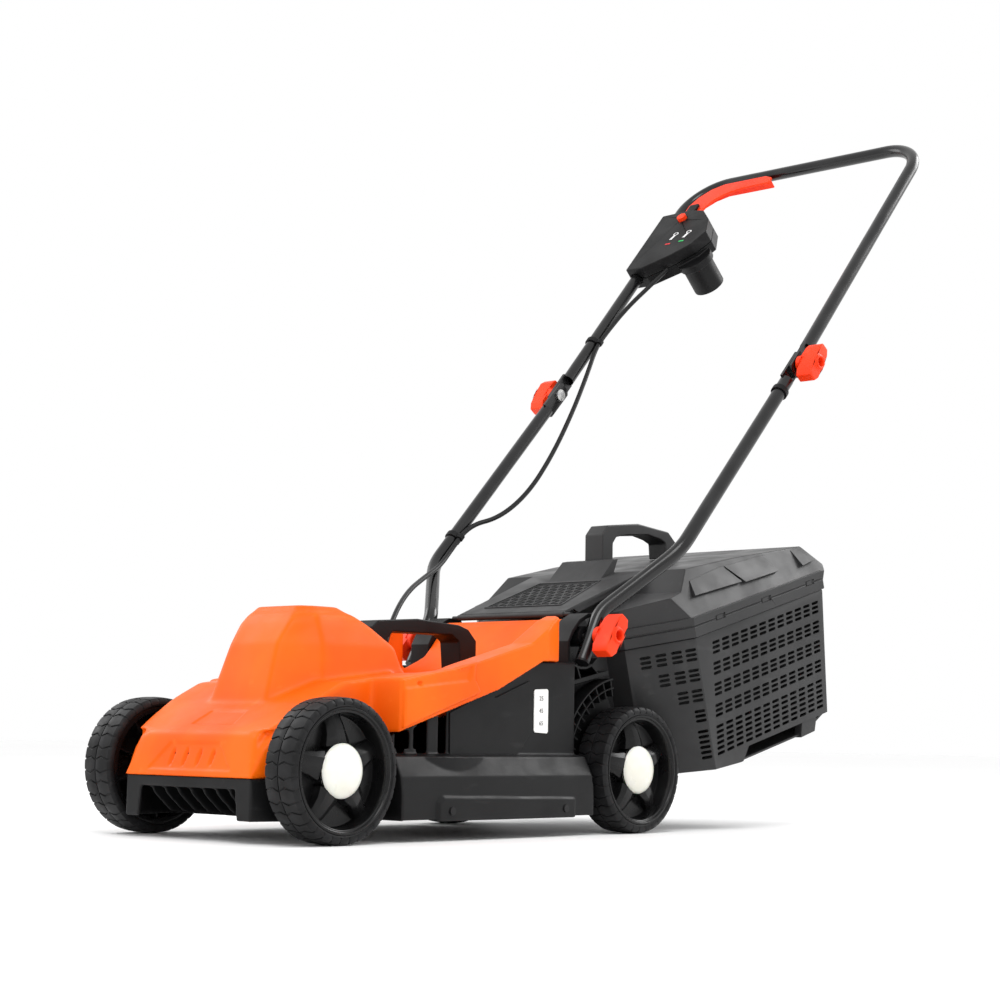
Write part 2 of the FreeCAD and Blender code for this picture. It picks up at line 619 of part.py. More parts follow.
def low_points(sign):
    """Centre line of one lower tube, from its lower tip to the start of its flat end."""
    x0 = num(S.low_half) * sign
    x1 = num(S.high_half) * sign
    pivot = V(x0, num(S.low_y), num(S.low_z))
    knee = V(x0, num(S.knee_y), num(S.knee_z))
    bend = V(x1, num(S.bend_y), num(S.bend_z))
    top = V(x1, num(S.high_y), num(S.high_z))
    down = (pivot - knee).normalize()
    up = (top - bend).normalize()
    return [pivot + down * 36, knee, bend, top - up * 36], up


def flat_end(sign, middle, along, lap):
    """Flattened tube end round a bolt: a plate beside the bolt's mid plane."""
    thick = num(S.flat_thick)
    across = V(0, -along.z, along.y) * 12
    near = middle.x + (0 if lap == "outside" else -sign * num(S.fold_gap))
    step = sign * thick * (1 if lap == "outside" else -1)
    corners = []
    for reach, lift in ((-38, -1), (15, -1), (20, -0.6), (20, 0.6), (15, 1), (-38, 1)):
        point = middle + along * reach + across * lift
        corners.append(V(near, point.y, point.z))
    plate = Part.Face(Part.makePolygon(corners + corners[:1])).extrude(V(step, 0, 0))
    return plate.cut(cylinder(num(S.bolt_radius + S.run_gap), middle - V(20, 0, 0), middle + V(20, 0, 0)))


def make_handle():
    radius = num(S.tube_radius)
    for side, sign in SIDES.items():
        points, up = low_points(sign)
        tube = tube_shape(points, [45, 75])
        pivot = V(points[1].x, num(S.low_y), num(S.low_z))
        tube = tube.cut(cylinder(num(S.bolt_radius + S.run_gap), pivot - V(20, 0, 0), pivot + V(20, 0, 0)))
        high = V(num(S.high_half) * sign, num(S.high_y), num(S.high_z))
        shaped("lower_tube_" + side, tube.fuse(flat_end(sign, high, up, "inside")).removeSplitter())

    along = V(0, num(S.bar_y - S.high_y), num(S.bar_z - S.high_z)).normalize()
    corners = []
    for sign in (1, -1):
        high = V(num(S.high_half) * sign, num(S.high_y), num(S.high_z))
        bar = V(num(S.high_half) * sign, num(S.bar_y), num(S.bar_z))
        pair = [high + along * 36, bar]
        corners += pair if sign == 1 else pair[::-1]
    upper = tube_shape(corners, [num(S.corner_radius)] * 2)
    for sign in (1, -1):
        high = V(num(S.high_half) * sign, num(S.high_y), num(S.high_z))
        upper = upper.fuse(flat_end(sign, high, -along, "outside"))
    shaped("upper_tube", upper.removeSplitter())

    solids = []
    for sign in (1, -1):
        tip, knee = low_points(sign)[0][:2]
        down = (tip - knee).normalize()
        solids.append(cylinder(radius, tip, tip + down * 3))
    shaped("tube_plugs", Part.makeCompound(solids))


def make_knobs():
    """Wing knobs on the four pivot bolts; each turns about its own bolt along X."""
    spots = {"low": (S.low_half + S.tube_radius + 0.6, S.low_y, S.low_z, S.tail_inner - 4),
             "high": (S.high_half + S.flat_thick + 0.6, S.high_y, S.high_z,
                      S.high_half - S.flat_thick - 0.6)}
    half = S.knob_length / 2
    tilt = 56
    for level, (start, y, z, head) in spots.items():
        for side, sign in SIDES.items():
            turn = FreeCAD.Rotation(V(0, 1, 0), 90 * sign)
            spin = FreeCAD.Rotation(V(1, 0, 0), tilt)
            knob = body("knob_%s_%s" % (level, side), sign * start, y, z, spin.multiply(turn))
            wing = [(-7, -half), (6, -half), (11, -half + 9), (11, half - 9), (6, half), (-7, half),
                    (-11, half - 9), (-11, -half + 9)]
            add(knob, "XY_Plane", [wing], 8, S.knob_reach - 3)
            add(knob, "XY_Plane", [(0, 0, 12)], 0, 9)
            add(knob, "XY_Plane", [(0, 0, 10)], S.knob_reach - 4, S.knob_reach)
            cut(knob, "XY_Plane", [(0, 0, S.bolt_radius + S.run_gap)], -1, 21)
            cut(knob, "XY_Plane", [(0, 0, 6.5)], 20, S.knob_reach + 1)

    bolts = {"low": [], "high": []}
    for level, (start, y, z, head) in spots.items():
        for sign in (1, -1):
            centre = V(0, num(y), num(z))
            shank_low = centre + V(num(head) * sign, 0, 0)
            shank_high = centre + V((num(start) + 18) * sign, 0, 0)
            shank = cylinder(num(S.bolt_radius), shank_low, shank_high)
            cup = cylinder(9, shank_low, shank_low - V(3 * sign, 0, 0))
            bolts[level].append(shank.fuse(cup))
        shaped("pivot_bolts_" + level, Part.makeCompound(bolts[level]))


# ---------------------------------------------------------------- rear flap and grass box

def make_flap():
    """Deflector flap over the mouth of the grass box, drawn flat with its hinge along the body's own X."""
    turn = FreeCAD.Rotation(V(1, 0, 0), num(S.flap_slope))
    flap = body("rear_flap", 0, S.flap_y, S.flap_z, turn)
    plate = both([(S.flap_half, 3), (S.flap_half, 24), (S.flap_half + 5, S.flap_length)])
    add(flap, "XY_Plane", [plate], 0, 4)
    add(flap, "YZ_Plane", [(0, 0, 4)], -S.flap_half, S.flap_half)
    add(flap, "YZ_Plane", [(0, 0, 2.5)], 2 - S.tail_inner, S.tail_inner - 2)
    relief = both([(62, 32), (50, S.flap_length - 44)])
    cut(flap, "XY_Plane", [relief], 2.8, 5)
    for sign in SIDES.values():
        lip = sorted((sign * (S.flap_half - 4), sign * S.flap_half), key=num)
        add(flap, "YZ_Plane", [[(20, 1), (S.flap_length - 4, 1), (S.flap_length - 8, -7), (28, -7)]], lip[0], lip[1])
    tab = [(S.flap_length - 32, 2), (S.flap_length + 8, 20), (S.flap_length + 18, 18), (S.flap_length, 1)]
    add(flap, "YZ_Plane", [tab], -46, 46)


def prism(plane, outline, low, high):
    """Plain extrusion along one axis, for pieces put together by booleans."""
    turns = {"XY_Plane": FreeCAD.Rotation(), "YZ_Plane": FreeCAD.Rotation(V(1, 1, 1), 120)}
    drawn = doc.addObject("Sketcher::SketchObject", "Sketch")
    drawn.Placement = FreeCAD.Placement(turns[plane].multVec(V(0, 0, num(low))), turns[plane])
    bind(drawn, "Placement.Base." + {"XY_Plane": "z", "YZ_Plane": "x"}[plane], low)
    if isinstance(outline, tuple):
        draw_circle(drawn, *outline)
    else:
        draw(drawn, outline)
    item = doc.addObject("Part::Extrusion", "Extrusion")
    item.Base = drawn
    item.DirMode = "Normal"
    item.Solid = True
    bind(item, "LengthFwd", as_size(high) - low)
    return item


def joined(kind, base, tool, name="Join"):
    item = doc.addObject(kind, name)
    item.Base = base
    item.Tool = tool
    return item


def box_plan(inset):
    """Half plan of the grass box: a neck between the tail plates, then shoulders behind the wheels."""
    return both([(S.neck_box - inset, -190 - inset), (S.neck_box - inset, -72 + inset), (124 - inset, -66 + inset),
                 (S.box_half - inset, 2 + inset), (S.box_half - inset, 360)])


def make_grass_box():
    """Base and lid part along the sloping seam, which is the level plane of their own drawing."""
    turn = FreeCAD.Rotation(V(1, 0, 0), num(S.box_slope))
    wall = S.box_wall
    rear = S.seam_length
    side = S.box_half + 1
    outer = [(-142, 0), (-169, -98), (-108, -127), (-60, -171), (62, -184), (rear - 88, -188), (rear - 34, -172),
             (rear, 0)]
    inner = [(-150, 5), (-180, -95.5), (-107, -124.5), (-58, -168.5), (62, -181.5), (rear - 90, -185.5),
             (rear - 37, -170.5), (rear - wall, 5)]
    shell = joined("Part::Common", prism("YZ_Plane", outer, -side, side), prism("XY_Plane", box_plan(0), -200, 1))
    space = joined("Part::Common", prism("YZ_Plane", inner, -side, side),
                   prism("XY_Plane", box_plan(wall), -200, 10))
    wheel = (-136.8, -139.9, S.wheel_radius + 10)
    guard = (-136.8, -139.9, S.wheel_radius + 10 + wall)
    for sign in (1, -1):
        start, stop = sorted((sign * 125.5, sign * (S.box_half + 5)), key=num)
        shell = joined("Part::Cut", shell, prism("YZ_Plane", wheel, start, stop))
        start, stop = sorted((sign * (125.5 - wall), sign * (S.box_half + 5)), key=num)
        space = joined("Part::Cut", space, prism("YZ_Plane", guard, start, stop))
    base = joined("Part::Cut", shell, space, "box_base")

    cover = [(-142, 0.1), (-129, 47), (11, 60), (47, 85), (154, 79), (rear - 8, 65), (rear + 18, 33), (rear, 0.1)]
    under = [(-150, -5), (-138, 44.5), (12, 57.5), (48, 82.5), (154, 76.5), (rear - 9, 62.5), (rear + 15, 32.5),
             (rear - wall, -5)]
    shell = joined("Part::Common", prism("YZ_Plane", cover, -side, side), prism("XY_Plane", box_plan(0), -5, 100))
    space = joined("Part::Common", prism("YZ_Plane", under, -side, side),
                   prism("XY_Plane", box_plan(wall), -10, 100))
    for sign in (1, -1):
        slope_out = [(150, 100), (200, 100), (200, 24), (S.box_half, 24)]
        slope_in = [(147, 100), (200, 100), (200, 22), (S.box_half - wall, 22)]
        shell = joined("Part::Cut", shell, side_wedge(slope_out, sign))
        space = joined("Part::Cut", space, side_wedge(slope_in, sign))
    lid = joined("Part::Cut", shell, space, "box_lid")
    for item in (base, lid):
        item.Label = item.Name
        pieces[item.Name] = item
        place(item, 0, S.seam_y, S.seam_z, turn)

    grip = body("box_handle")
    arch = [(640, 346.4), (640, 400), (652, 413), (721, 421), (792, 415), (811, 400), (811, 381), (786, 376.4),
            (784, 398), (770, 403), (745, 407), (690, 402), (672, 398), (664, 388), (664, 351.6)]
    add(grip, "YZ_Plane", [arch], -16, 16)


def side_wedge(outline, sign):
    """Wedge along the box, which bevels one upper side of the lid."""
    drawn = doc.addObject("Sketcher::SketchObject", "Sketch")
    drawn.Placement = FreeCAD.Placement(V(0, 400, 0), FreeCAD.Rotation(V(1, 0, 0), 90))
    draw(drawn, [(sign * as_size(x), z) for x, z in outline])
    item = doc.addObject("Part::Extrusion", "Extrusion")
    item.Base = drawn
    item.DirMode = "Normal"
    item.Solid = True
    item.LengthFwd = 640
    return item


# ---------------------------------------------------------------- switch box, lever, cable

def make_switch():
    """Drawn in the plane of the upper handle: own Y runs up the tube and own Z faces the user."""
    turn = FreeCAD.Rotation(V(1, 0, 0), HIGH_ANGLE)
    spot = (0, S.bar_y, S.bar_z, turn)
    tube_x = -S.high_half
    outline = [(tube_x - 12, -96), (-176, -94), (-145, -102), (-121, -131), (-106, -170), (-121, -200), (-150, -222),
               (-196, -246), (tube_x - 12, -246)]
    room = [(-204, -106), (-178, -98), (-150, -106), (-126, -134), (-112, -170), (-124, -196), (-152, -216),
            (-204, -236)]
    inlet_x, inlet_y = -130, -200
    front = body("switch_front", *spot)
    add(front, "XY_Plane", [outline], 0.1, 20)
    cut(front, "XY_Plane", [room], -1, 17.5)
    back = body("switch_back", *spot)
    add(back, "XY_Plane", [outline], -18, 0)
    outside = S.inlet_bore + S.inlet_wall
    add(back, "XY_Plane", [(inlet_x, inlet_y, outside + 4)], -18, -6)
    cut(back, "XY_Plane", [room], -15.5, 1)
    hollow = S.tube_radius + 0.1
    for half in (front, back):
        cut(half, "XZ_Plane", [(tube_x, 0, hollow)], -250, -90)
    cut(front, "XY_Plane", [(-179, -118, 8.1)], 10, 21)
    pivot_x, pivot_y, pin = -178, -82, 3
    add(front, "XY_Plane", [box(pivot_x - 9, -100, pivot_x + 9, pivot_y + 9)], 13, 17)
    add(front, "XY_Plane", [(pivot_x, pivot_y, pin)], 7, 14)

    shroud = body("inlet_shroud", *spot)
    mouth = -18 - S.inlet_length
    add(shroud, "XY_Plane", [(inlet_x, inlet_y, outside)], mouth, -18)
    cut(shroud, "XY_Plane", [(inlet_x, inlet_y, S.inlet_bore)], mouth - 1, mouth + S.inlet_depth)
    cut(shroud, "XY_Plane", [(inlet_x, inlet_y, S.inlet_bore - 2)], mouth + S.inlet_depth - 1, -22)
    pins = body("inlet_pins", *spot)
    for shift in (-8, 8):
        add(pins, "XY_Plane", [box(inlet_x + shift - 1.5, inlet_y - 3, inlet_x + shift + 1.5, inlet_y + 3)], -42, -22)
    add(pins, "XY_Plane", [(inlet_x, inlet_y + 11, 2.4)], -42, -22)

    button = body("lock_button", *spot)
    add(button, "XY_Plane", [(-179, -118, 8)], 12, 26)
    lever = body("bail_lever", *spot)
    reach = [(-196, -93), (-196, -66), (-187, -45), (-169, -27), (-146, -18), (-66, -18), (-50, -26), (-50, -40),
             (-104, -42), (-128, -48), (-146, -60), (-156, -76), (-160, -93)]
    add(lever, "XY_Plane", [reach], -10, 12)
    bed = [(-191, -90), (-191, -67), (-182, -48), (-167, -33), (-145, -24), (-40, -24), (-40, -60), (-104, -46.5),
           (-125, -52), (-141, -63), (-151, -77), (-155, -90)]
    cut(lever, "XY_Plane", [bed], -11, 8)
    cut(lever, "XY_Plane", [(pivot_x, pivot_y, pin + S.run_gap)], 6, 13)


def beside_tube(y, z, side, out):
    return V(side * (num(S.high_half) - out), y, z)


def clip_shape(middle, along, side, cord_side):
    """Clip round the tube, with a smaller loop beside it when it holds the cable."""
    radius = num(S.tube_radius)
    ring = cylinder(radius + 2.4, middle - along * 4, middle + along * 4)
    if cord_side:
        loop = middle + V(cord_side * num(S.tube_radius + S.cable_radius + 0.4), 0, 0)
        ring = ring.fuse(cylinder(num(S.cable_radius) + 2, loop - along * 4, loop + along * 4))
        ring = ring.cut(cylinder(num(S.cable_radius) + 0.1, loop - along * 9, loop + along * 9))
    return ring.cut(cylinder(radius + 0.05, middle - along * 9, middle + along * 9))


def cord_radii(points):
    """Each bend takes the largest arc that its two runs allow."""
    radii = []
    for before, here, after in zip(points, points[1:], points[2:]):
        into = here - before
        away = after - here
        shorter = min(into.Length, away.Length)
        radii.append(0.45 * shorter / math.tan(into.getAngle(away) / 2))
    return radii


def make_cable():
    high_x = num(S.high_half)
    lower = V(0, num(S.high_y - S.bend_y), num(S.high_z - S.bend_z)).normalize()
    upper = V(0, num(S.bar_y - S.high_y), num(S.bar_z - S.high_z)).normalize()
    pivot = V(0, num(S.high_y), num(S.high_z))
    low_tie = pivot - lower * 331
    wire_clip = pivot - lower * 61
    high_tie = pivot + upper * 127
    centre = V(-high_x, 0, 0)
    low_pair = [clip_shape(low_tie + centre, lower, -1, 1), clip_shape(wire_clip - centre, lower, 1, 0)]
    shaped("clips_low", Part.makeCompound(low_pair))
    shaped("clip_high", clip_shape(high_tie + centre, upper, -1, 1))

    lane = centre + V(num(S.tube_radius + S.cable_radius + 0.4), 0, 0)
    gland = body("cable_gland", -97, 326, 0)
    add(gland, "XY_Plane", [(0, 0, S.cable_radius + 5), (0, 0, S.cable_radius + 0.1)], 187, 196)

    start = low_tie + lane
    down = [start, start - lower * 26, V(-196, 538, 357), V(-178, 490, 338), V(-152, 430, 314), V(-122, 375, 281),
            V(-102, 338, 241), V(-97, 326, 208), V(-97, 326, 180)]
    exit_point = V(-164, 0, 0) + V(0, num(S.bar_y), num(S.bar_z)) - upper * 232
    tie = high_tie + lane
    up = [start, start + lower * 26, V(-198, 665, 437), V(-192, 722, 479), V(-189, 772, 541), V(-191, 820, 611),
          V(-198, 864, 678), tie - upper * 14, tie + upper * 22, V(-196, 960, 800), V(-176, 998, 842), exit_point]
    for name, route in (("cable_low", down), ("cable_high", up)):
        radii = cord_radii(route)
        path = rounded_path(route, radii)
        cord = swept(path, num(S.cable_radius))
        expected = math.pi * num(S.cable_radius) ** 2 * path.Length
        print(name, "length %.0f" % path.Length, "radii", [round(r) for r in radii],
              "volume ratio %.4f" % (cord.Volume / expected))
        shaped(name, cord)


make_wheels()
make_axles()
make_deck()
make_hood()
make_carry_handle()
make_brackets()
make_labels_and_screws()
make_drive()
make_handle()
make_knobs()
make_flap()
make_grass_box()
make_switch()
make_cable()

# ---------------------------------------------------------------- checks and files

doc.recompute()
faults = []
for item in doc.Objects:
    if "Invalid" in item.State or "Error" in item.State:
        faults.append("%s %s" % (item.Name, item.State))
    if item.TypeId in ("PartDesign::Pocket", "PartDesign::SubtractiveLoft") and item.BaseFeature:
        if item.Shape.isNull() or item.Shape.Volume > item.BaseFeature.Shape.Volume - 1:
            faults.append("%s cuts nothing" % item.Label)
for name, item in pieces.items():
    if item.Shape.isNull() or not item.Shape.isValid() or not item.Shape.Solids:
        faults.append("%s has no sound shape" % name)
if faults:
    raise RuntimeError("; ".join(faults))

os.makedirs("parts", exist_ok=True)
for name, item in pieces.items():
    item.Shape.exportStep("parts/%s.step" % name)
    box_now = item.Shape.BoundBox
    print("%-24s %2d solids %10.0f mm3  X %7.1f %7.1f  Y %7.1f %7.1f  Z %7.1f %7.1f" % (
        name, len(item.Shape.Solids), item.Shape.Volume, box_now.XMin, box_now.XMax, box_now.YMin, box_now.YMax,
        box_now.ZMin, box_now.ZMax))
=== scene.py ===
"""A corded push lawn mower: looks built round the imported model."""

import json
import math

import bmesh
import bpy
from mathutils import Matrix, Vector
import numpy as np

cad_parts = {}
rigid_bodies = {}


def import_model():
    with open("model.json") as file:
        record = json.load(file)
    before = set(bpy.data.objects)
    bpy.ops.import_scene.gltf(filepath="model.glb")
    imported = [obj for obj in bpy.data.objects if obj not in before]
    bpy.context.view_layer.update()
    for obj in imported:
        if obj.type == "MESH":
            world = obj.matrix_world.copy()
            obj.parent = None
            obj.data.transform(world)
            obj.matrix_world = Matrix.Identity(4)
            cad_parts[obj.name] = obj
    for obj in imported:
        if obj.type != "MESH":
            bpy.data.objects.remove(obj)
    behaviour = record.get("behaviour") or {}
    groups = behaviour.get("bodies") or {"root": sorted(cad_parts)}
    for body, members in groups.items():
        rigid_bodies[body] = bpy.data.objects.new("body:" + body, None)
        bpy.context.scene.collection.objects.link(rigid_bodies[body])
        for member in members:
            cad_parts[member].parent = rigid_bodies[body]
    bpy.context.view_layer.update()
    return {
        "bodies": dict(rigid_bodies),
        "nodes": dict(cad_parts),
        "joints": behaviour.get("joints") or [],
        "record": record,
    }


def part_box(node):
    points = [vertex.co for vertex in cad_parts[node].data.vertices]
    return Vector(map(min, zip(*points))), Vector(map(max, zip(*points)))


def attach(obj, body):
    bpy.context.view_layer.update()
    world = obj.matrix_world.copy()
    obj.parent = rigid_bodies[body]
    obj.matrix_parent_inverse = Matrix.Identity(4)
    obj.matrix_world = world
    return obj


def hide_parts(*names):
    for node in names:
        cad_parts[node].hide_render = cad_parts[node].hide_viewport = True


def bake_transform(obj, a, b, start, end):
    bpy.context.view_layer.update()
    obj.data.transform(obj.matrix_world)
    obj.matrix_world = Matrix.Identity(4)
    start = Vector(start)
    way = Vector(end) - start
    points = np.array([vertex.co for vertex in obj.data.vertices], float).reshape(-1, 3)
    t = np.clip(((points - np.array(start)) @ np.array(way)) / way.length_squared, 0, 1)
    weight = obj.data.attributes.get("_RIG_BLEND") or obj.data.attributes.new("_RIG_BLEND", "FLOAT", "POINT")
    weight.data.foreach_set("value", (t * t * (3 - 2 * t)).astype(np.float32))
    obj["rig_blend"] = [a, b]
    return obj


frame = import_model()

NODES = frame["nodes"]
RECORD = frame["record"]
JOINTS = {joint["name"]: joint for joint in frame["joints"]}
BODY_OF = {node: body for body, nodes in RECORD["behaviour"]["bodies"].items() for node in nodes}
SLOT_OF = {part["node"]: part["material_slot"] for part in RECORD["subparts"]}
SIDES = {"left": 1, "right": -1}
AXLE_Y = sum(corner.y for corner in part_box("front_axle")) / 2
MM = 0.001


def at(x, y, z):
    """A point in millimetres: x to the left side, y back from the front axle, z above the ground."""
    return Vector((x * MM, AXLE_Y + y * MM, z * MM))


# ---------------------------------------------------------------- camera, floor and light

def set_up_camera():
    lens = bpy.data.cameras.new("camera")
    lens.sensor_width = 36
    lens.lens = 72.816
    camera = bpy.data.objects.new("camera", lens)
    right, up, back = (0.7483, 0.6631, 0.0157), (0.0647, -0.0966, 0.9932), (0.6602, -0.7422, -0.1152)
    turn = Matrix([right, up, back]).transposed()
    camera.matrix_world = Matrix.Translation((1.76018, -2.08995, 0.12166)) @ turn.to_4x4()
    bpy.context.scene.collection.objects.link(camera)
    bpy.context.scene.camera = camera


def set_up_studio():
    """White surroundings, three soft lamps and a pale floor."""
    world = bpy.data.worlds.new("studio")
    world.use_nodes = True
    world.node_tree.nodes["Background"].inputs["Color"].default_value = (1, 1, 1, 1)
    world.node_tree.nodes["Background"].inputs["Strength"].default_value = 1.0
    bpy.context.scene.world = world
    bpy.context.scene.view_settings.view_transform = "Standard"
    for name, spot, aim, size, power in (("key_light", (1.4, -1.6, 2.6), (0, -0.1, 0.25), 1.6, 34),
                                         ("rear_light", (0.9, 2.2, 2.0), (0, 0.3, 0.3), 1.4, 30),
                                         ("far_light", (-2.4, -0.8, 1.7), (0, 0, 0.3), 1.8, 24)):
        lamp = bpy.data.lights.new(name, "AREA")
        lamp.shape = "DISK"
        lamp.size = size
        lamp.energy = power
        holder = bpy.data.objects.new(name, lamp)
        holder.location = spot
        holder.rotation_euler = (Vector(aim) - Vector(spot)).to_track_quat("-Z", "Y").to_euler()
        bpy.context.scene.collection.objects.link(holder)
    mesh = bpy.data.meshes.new("floor")
    reach = 14
    mesh.from_pydata([(-reach, -reach, 0), (reach, -reach, 0), (reach, reach, 0), (-reach, reach, 0)], [],
                     [(0, 1, 2, 3)])
    floor = bpy.data.objects.new("floor", mesh)
    bpy.context.scene.collection.objects.link(floor)
    mesh.materials.append(pale_floor())


# ---------------------------------------------------------------- finishes

class Finish:
    """A material's node tree, with short calls for what these finishes use."""

    def __init__(self, name, roughness=0.5, metallic=0.0, **sockets):
        self.material = bpy.data.materials.new(name)
        self.material.use_nodes = True
        self.tree = self.material.node_tree
        self.shader = self.tree.nodes["Principled BSDF"]
        self.shader.inputs["Roughness"].default_value = roughness
        self.shader.inputs["Metallic"].default_value = metallic
        for socket, value in sockets.items():
            self.shader.inputs[socket.replace("_", " ")].default_value = value
        self.place = self.tree.nodes.new("ShaderNodeTexCoord").outputs["Object"]
        self.height = None

    def node(self, kind, **values):
        made = self.tree.nodes.new(kind)
        for key, value in values.items():
            if key in made.inputs:
                made.inputs[key].default_value = value
            else:
                setattr(made, key, value)
        return made

    def link(self, a, b):
        self.tree.links.new(a, b)

    def stretched(self, scale):
        mapping = self.node("ShaderNodeMapping")
        mapping.inputs["Scale"].default_value = scale
        self.link(self.place, mapping.inputs["Vector"])
        return mapping.outputs["Vector"]

    def noise(self, scale, detail=2.0, stretch=None):
        made = self.node("ShaderNodeTexNoise", Scale=scale, Detail=detail)
        self.link(self.stretched(stretch) if stretch else self.place, made.inputs["Vector"])
        return made.outputs["Fac"]

    def cells(self, scale):
        made = self.node("ShaderNodeTexVoronoi", Scale=scale)
        self.link(self.place, made.inputs["Vector"])
        return made.outputs["Distance"]

    def ranged(self, value, low, high, start=0.35, stop=0.65):
        made = self.node("ShaderNodeMapRange")
        for name, number in (("From Min", start), ("From Max", stop), ("To Min", low), ("To Max", high)):
            made.inputs[name].default_value = number
        self.link(value, made.inputs["Value"])
        return made.outputs["Result"]

    def blended(self, factor, first, second):
        made = self.node("ShaderNodeMix", data_type="RGBA")
        self.link(factor, made.inputs["Factor"])
        for name, colour in (("A", first), ("B", second)):
            socket = [s for s in made.inputs if s.name == name and s.type == "RGBA"][0]
            if isinstance(colour, tuple):
                socket.default_value = (*colour, 1)
            else:
                self.link(colour, socket)
        return [s for s in made.outputs if s.type == "RGBA"][0]

    def colour(self, source):
        self.link(source, self.shader.inputs["Base Color"])

    def rough(self, source):
        self.link(source, self.shader.inputs["Roughness"])

    def bump(self, source, depth_mm, strength=1.0):
        made = self.node("ShaderNodeBump", Strength=strength, Distance=depth_mm * MM)
        self.link(source, made.inputs["Height"])
        if self.height:
            self.link(self.height, made.inputs["Normal"])
        self.height = made.outputs["Normal"]
        self.link(self.height, self.shader.inputs["Normal"])


def moulded(name, base, shade, roughness, grain_mm=0.9, depth_mm=0.05, **sockets):
    """Moulded plastic: eroded grain, a soft drift of colour and gloss, and a few scuffs."""
    finish = Finish(name, roughness, **sockets)
    drift = finish.noise(9, 3)
    base_colour = finish.blended(finish.ranged(drift, 0, 1), shade, base)
    scuff = finish.ranged(finish.noise(60, 6, (1, 0.22, 1)), 0, 0.3, 0.62, 0.72)
    lighter = tuple(min(1, c * 1.25 + 0.02) for c in base)
    finish.colour(finish.blended(scuff, base_colour, lighter))
    finish.rough(finish.ranged(finish.noise(22, 4), roughness - 0.06, roughness + 0.09))
    finish.bump(finish.noise(1 / (grain_mm * MM), 2), depth_mm, 0.5)
    finish.bump(finish.noise(14, 1), 0.3, 0.12)
    return finish.material


def glossy_tube():
    finish = Finish("tube_enamel", 0.22, Specular_IOR_Level=0.35, Coat_Weight=0.25, Coat_Roughness=0.06)
    dust = finish.ranged(finish.noise(40, 5), 0, 1, 0.45, 0.7)
    finish.colour(finish.blended(dust, (0.003, 0.003, 0.0033), (0.006, 0.006, 0.0064)))
    finish.rough(finish.ranged(finish.noise(25, 4), 0.16, 0.34))
    finish.bump(finish.noise(160, 1), 0.02, 0.2)
    return finish.material


def tyre_plastic():
    finish = Finish("tyre_plastic", 0.38, Specular_IOR_Level=0.2)
    worn = finish.ranged(finish.noise(55, 6), 0, 1, 0.42, 0.68)
    finish.colour(finish.blended(worn, (0.006, 0.006, 0.0064), (0.013, 0.013, 0.014)))
    finish.rough(finish.ranged(finish.noise(35, 3), 0.42, 0.62))
    finish.bump(finish.noise(900, 2), 0.06, 0.5)
    finish.bump(finish.cells(260), 0.05, 0.25)
    return finish.material


def cap_plastic():
    finish = Finish("cap_plastic", 0.3, Coat_Weight=0.3, Subsurface_Weight=0.08)
    finish.colour(finish.blended(finish.ranged(finish.noise(30, 4), 0, 1), (0.80, 0.77, 0.68),
                                 (0.88, 0.86, 0.79)))
    finish.rough(finish.ranged(finish.noise(50, 3), 0.26, 0.38))
    finish.bump(finish.noise(700, 1), 0.02, 0.3)
    return finish.material


def plated_steel():
    finish = Finish("zinc_plate", 0.35, 1.0)
    finish.colour(finish.blended(finish.ranged(finish.noise(120, 5), 0, 1), (0.42, 0.42, 0.43),
                                 (0.62, 0.62, 0.60)))
    finish.rough(finish.ranged(finish.noise(80, 6, (1, 8, 1)), 0.25, 0.5))
    finish.bump(finish.noise(600, 3, (1, 6, 1)), 0.04, 0.4)
    return finish.material


def pale_floor():
    finish = Finish("pale_floor", 0.6)
    finish.colour(finish.blended(finish.ranged(finish.noise(0.6, 1), 0, 1), (0.97, 0.97, 0.97),
                                 (0.985, 0.985, 0.985)))
    return finish.material


def print_ink(name, colour):
    finish = Finish(name, 0.45)
    patchy = tuple(c * 0.94 for c in colour)
    finish.colour(finish.blended(finish.ranged(finish.noise(60, 2), 0, 1, 0.3, 0.6), patchy, colour))
    finish.bump(finish.noise(900, 1), 0.01, 0.3)
    return finish.material


FINISH = {
    "orange": moulded("hood_orange", (0.93, 0.135, 0.002), (0.87, 0.1, 0.0015), 0.42, 0.8, 0.06,
                      Specular_IOR_Level=0.16),
    "red_orange": moulded("knob_red", (0.95, 0.055, 0.008), (0.86, 0.035, 0.005), 0.36, 1.2, 0.03,
                          Specular_IOR_Level=0.2),
    "black_plastic": moulded("deck_black", (0.007, 0.007, 0.0074), (0.004, 0.004, 0.0044), 0.42, 0.7, 0.05,
                             Specular_IOR_Level=0.2),
    "dark_plastic": moulded("box_charcoal", (0.03, 0.03, 0.0308), (0.02, 0.02, 0.0206), 0.4, 0.7, 0.05,
                            Specular_IOR_Level=0.3),
    "gloss_black": glossy_tube(),
    "tyre_black": tyre_plastic(),
    "white_cap": cap_plastic(),
    "label_white": print_ink("label_paper", (0.86, 0.86, 0.84)),
    "steel": plated_steel(),
    "motor_grey": moulded("motor_paint", (0.08, 0.08, 0.085), (0.05, 0.05, 0.055), 0.4, 1.0, 0.03),
    "belt_rubber": moulded("belt_rubber", (0.012, 0.012, 0.012), (0.007, 0.007, 0.007), 0.7, 0.6, 0.05),
    "cable_black": moulded("cable_sheath", (0.006, 0.006, 0.0064), (0.004, 0.004, 0.0044), 0.36, 1.5, 0.008,
                           Specular_IOR_Level=0.3),
    "brass_pin": plated_steel(),
}
RIM_BLACK = moulded("rim_black", (0.005, 0.005, 0.0053), (0.003, 0.003, 0.0032), 0.26, 0.8, 0.025,
                    Specular_IOR_Level=0.26)
BLACKED_STEEL = moulded("blacked_steel", (0.012, 0.012, 0.0125), (0.007, 0.007, 0.0075), 0.34, 1.0, 0.02,
                        Metallic=0.5)
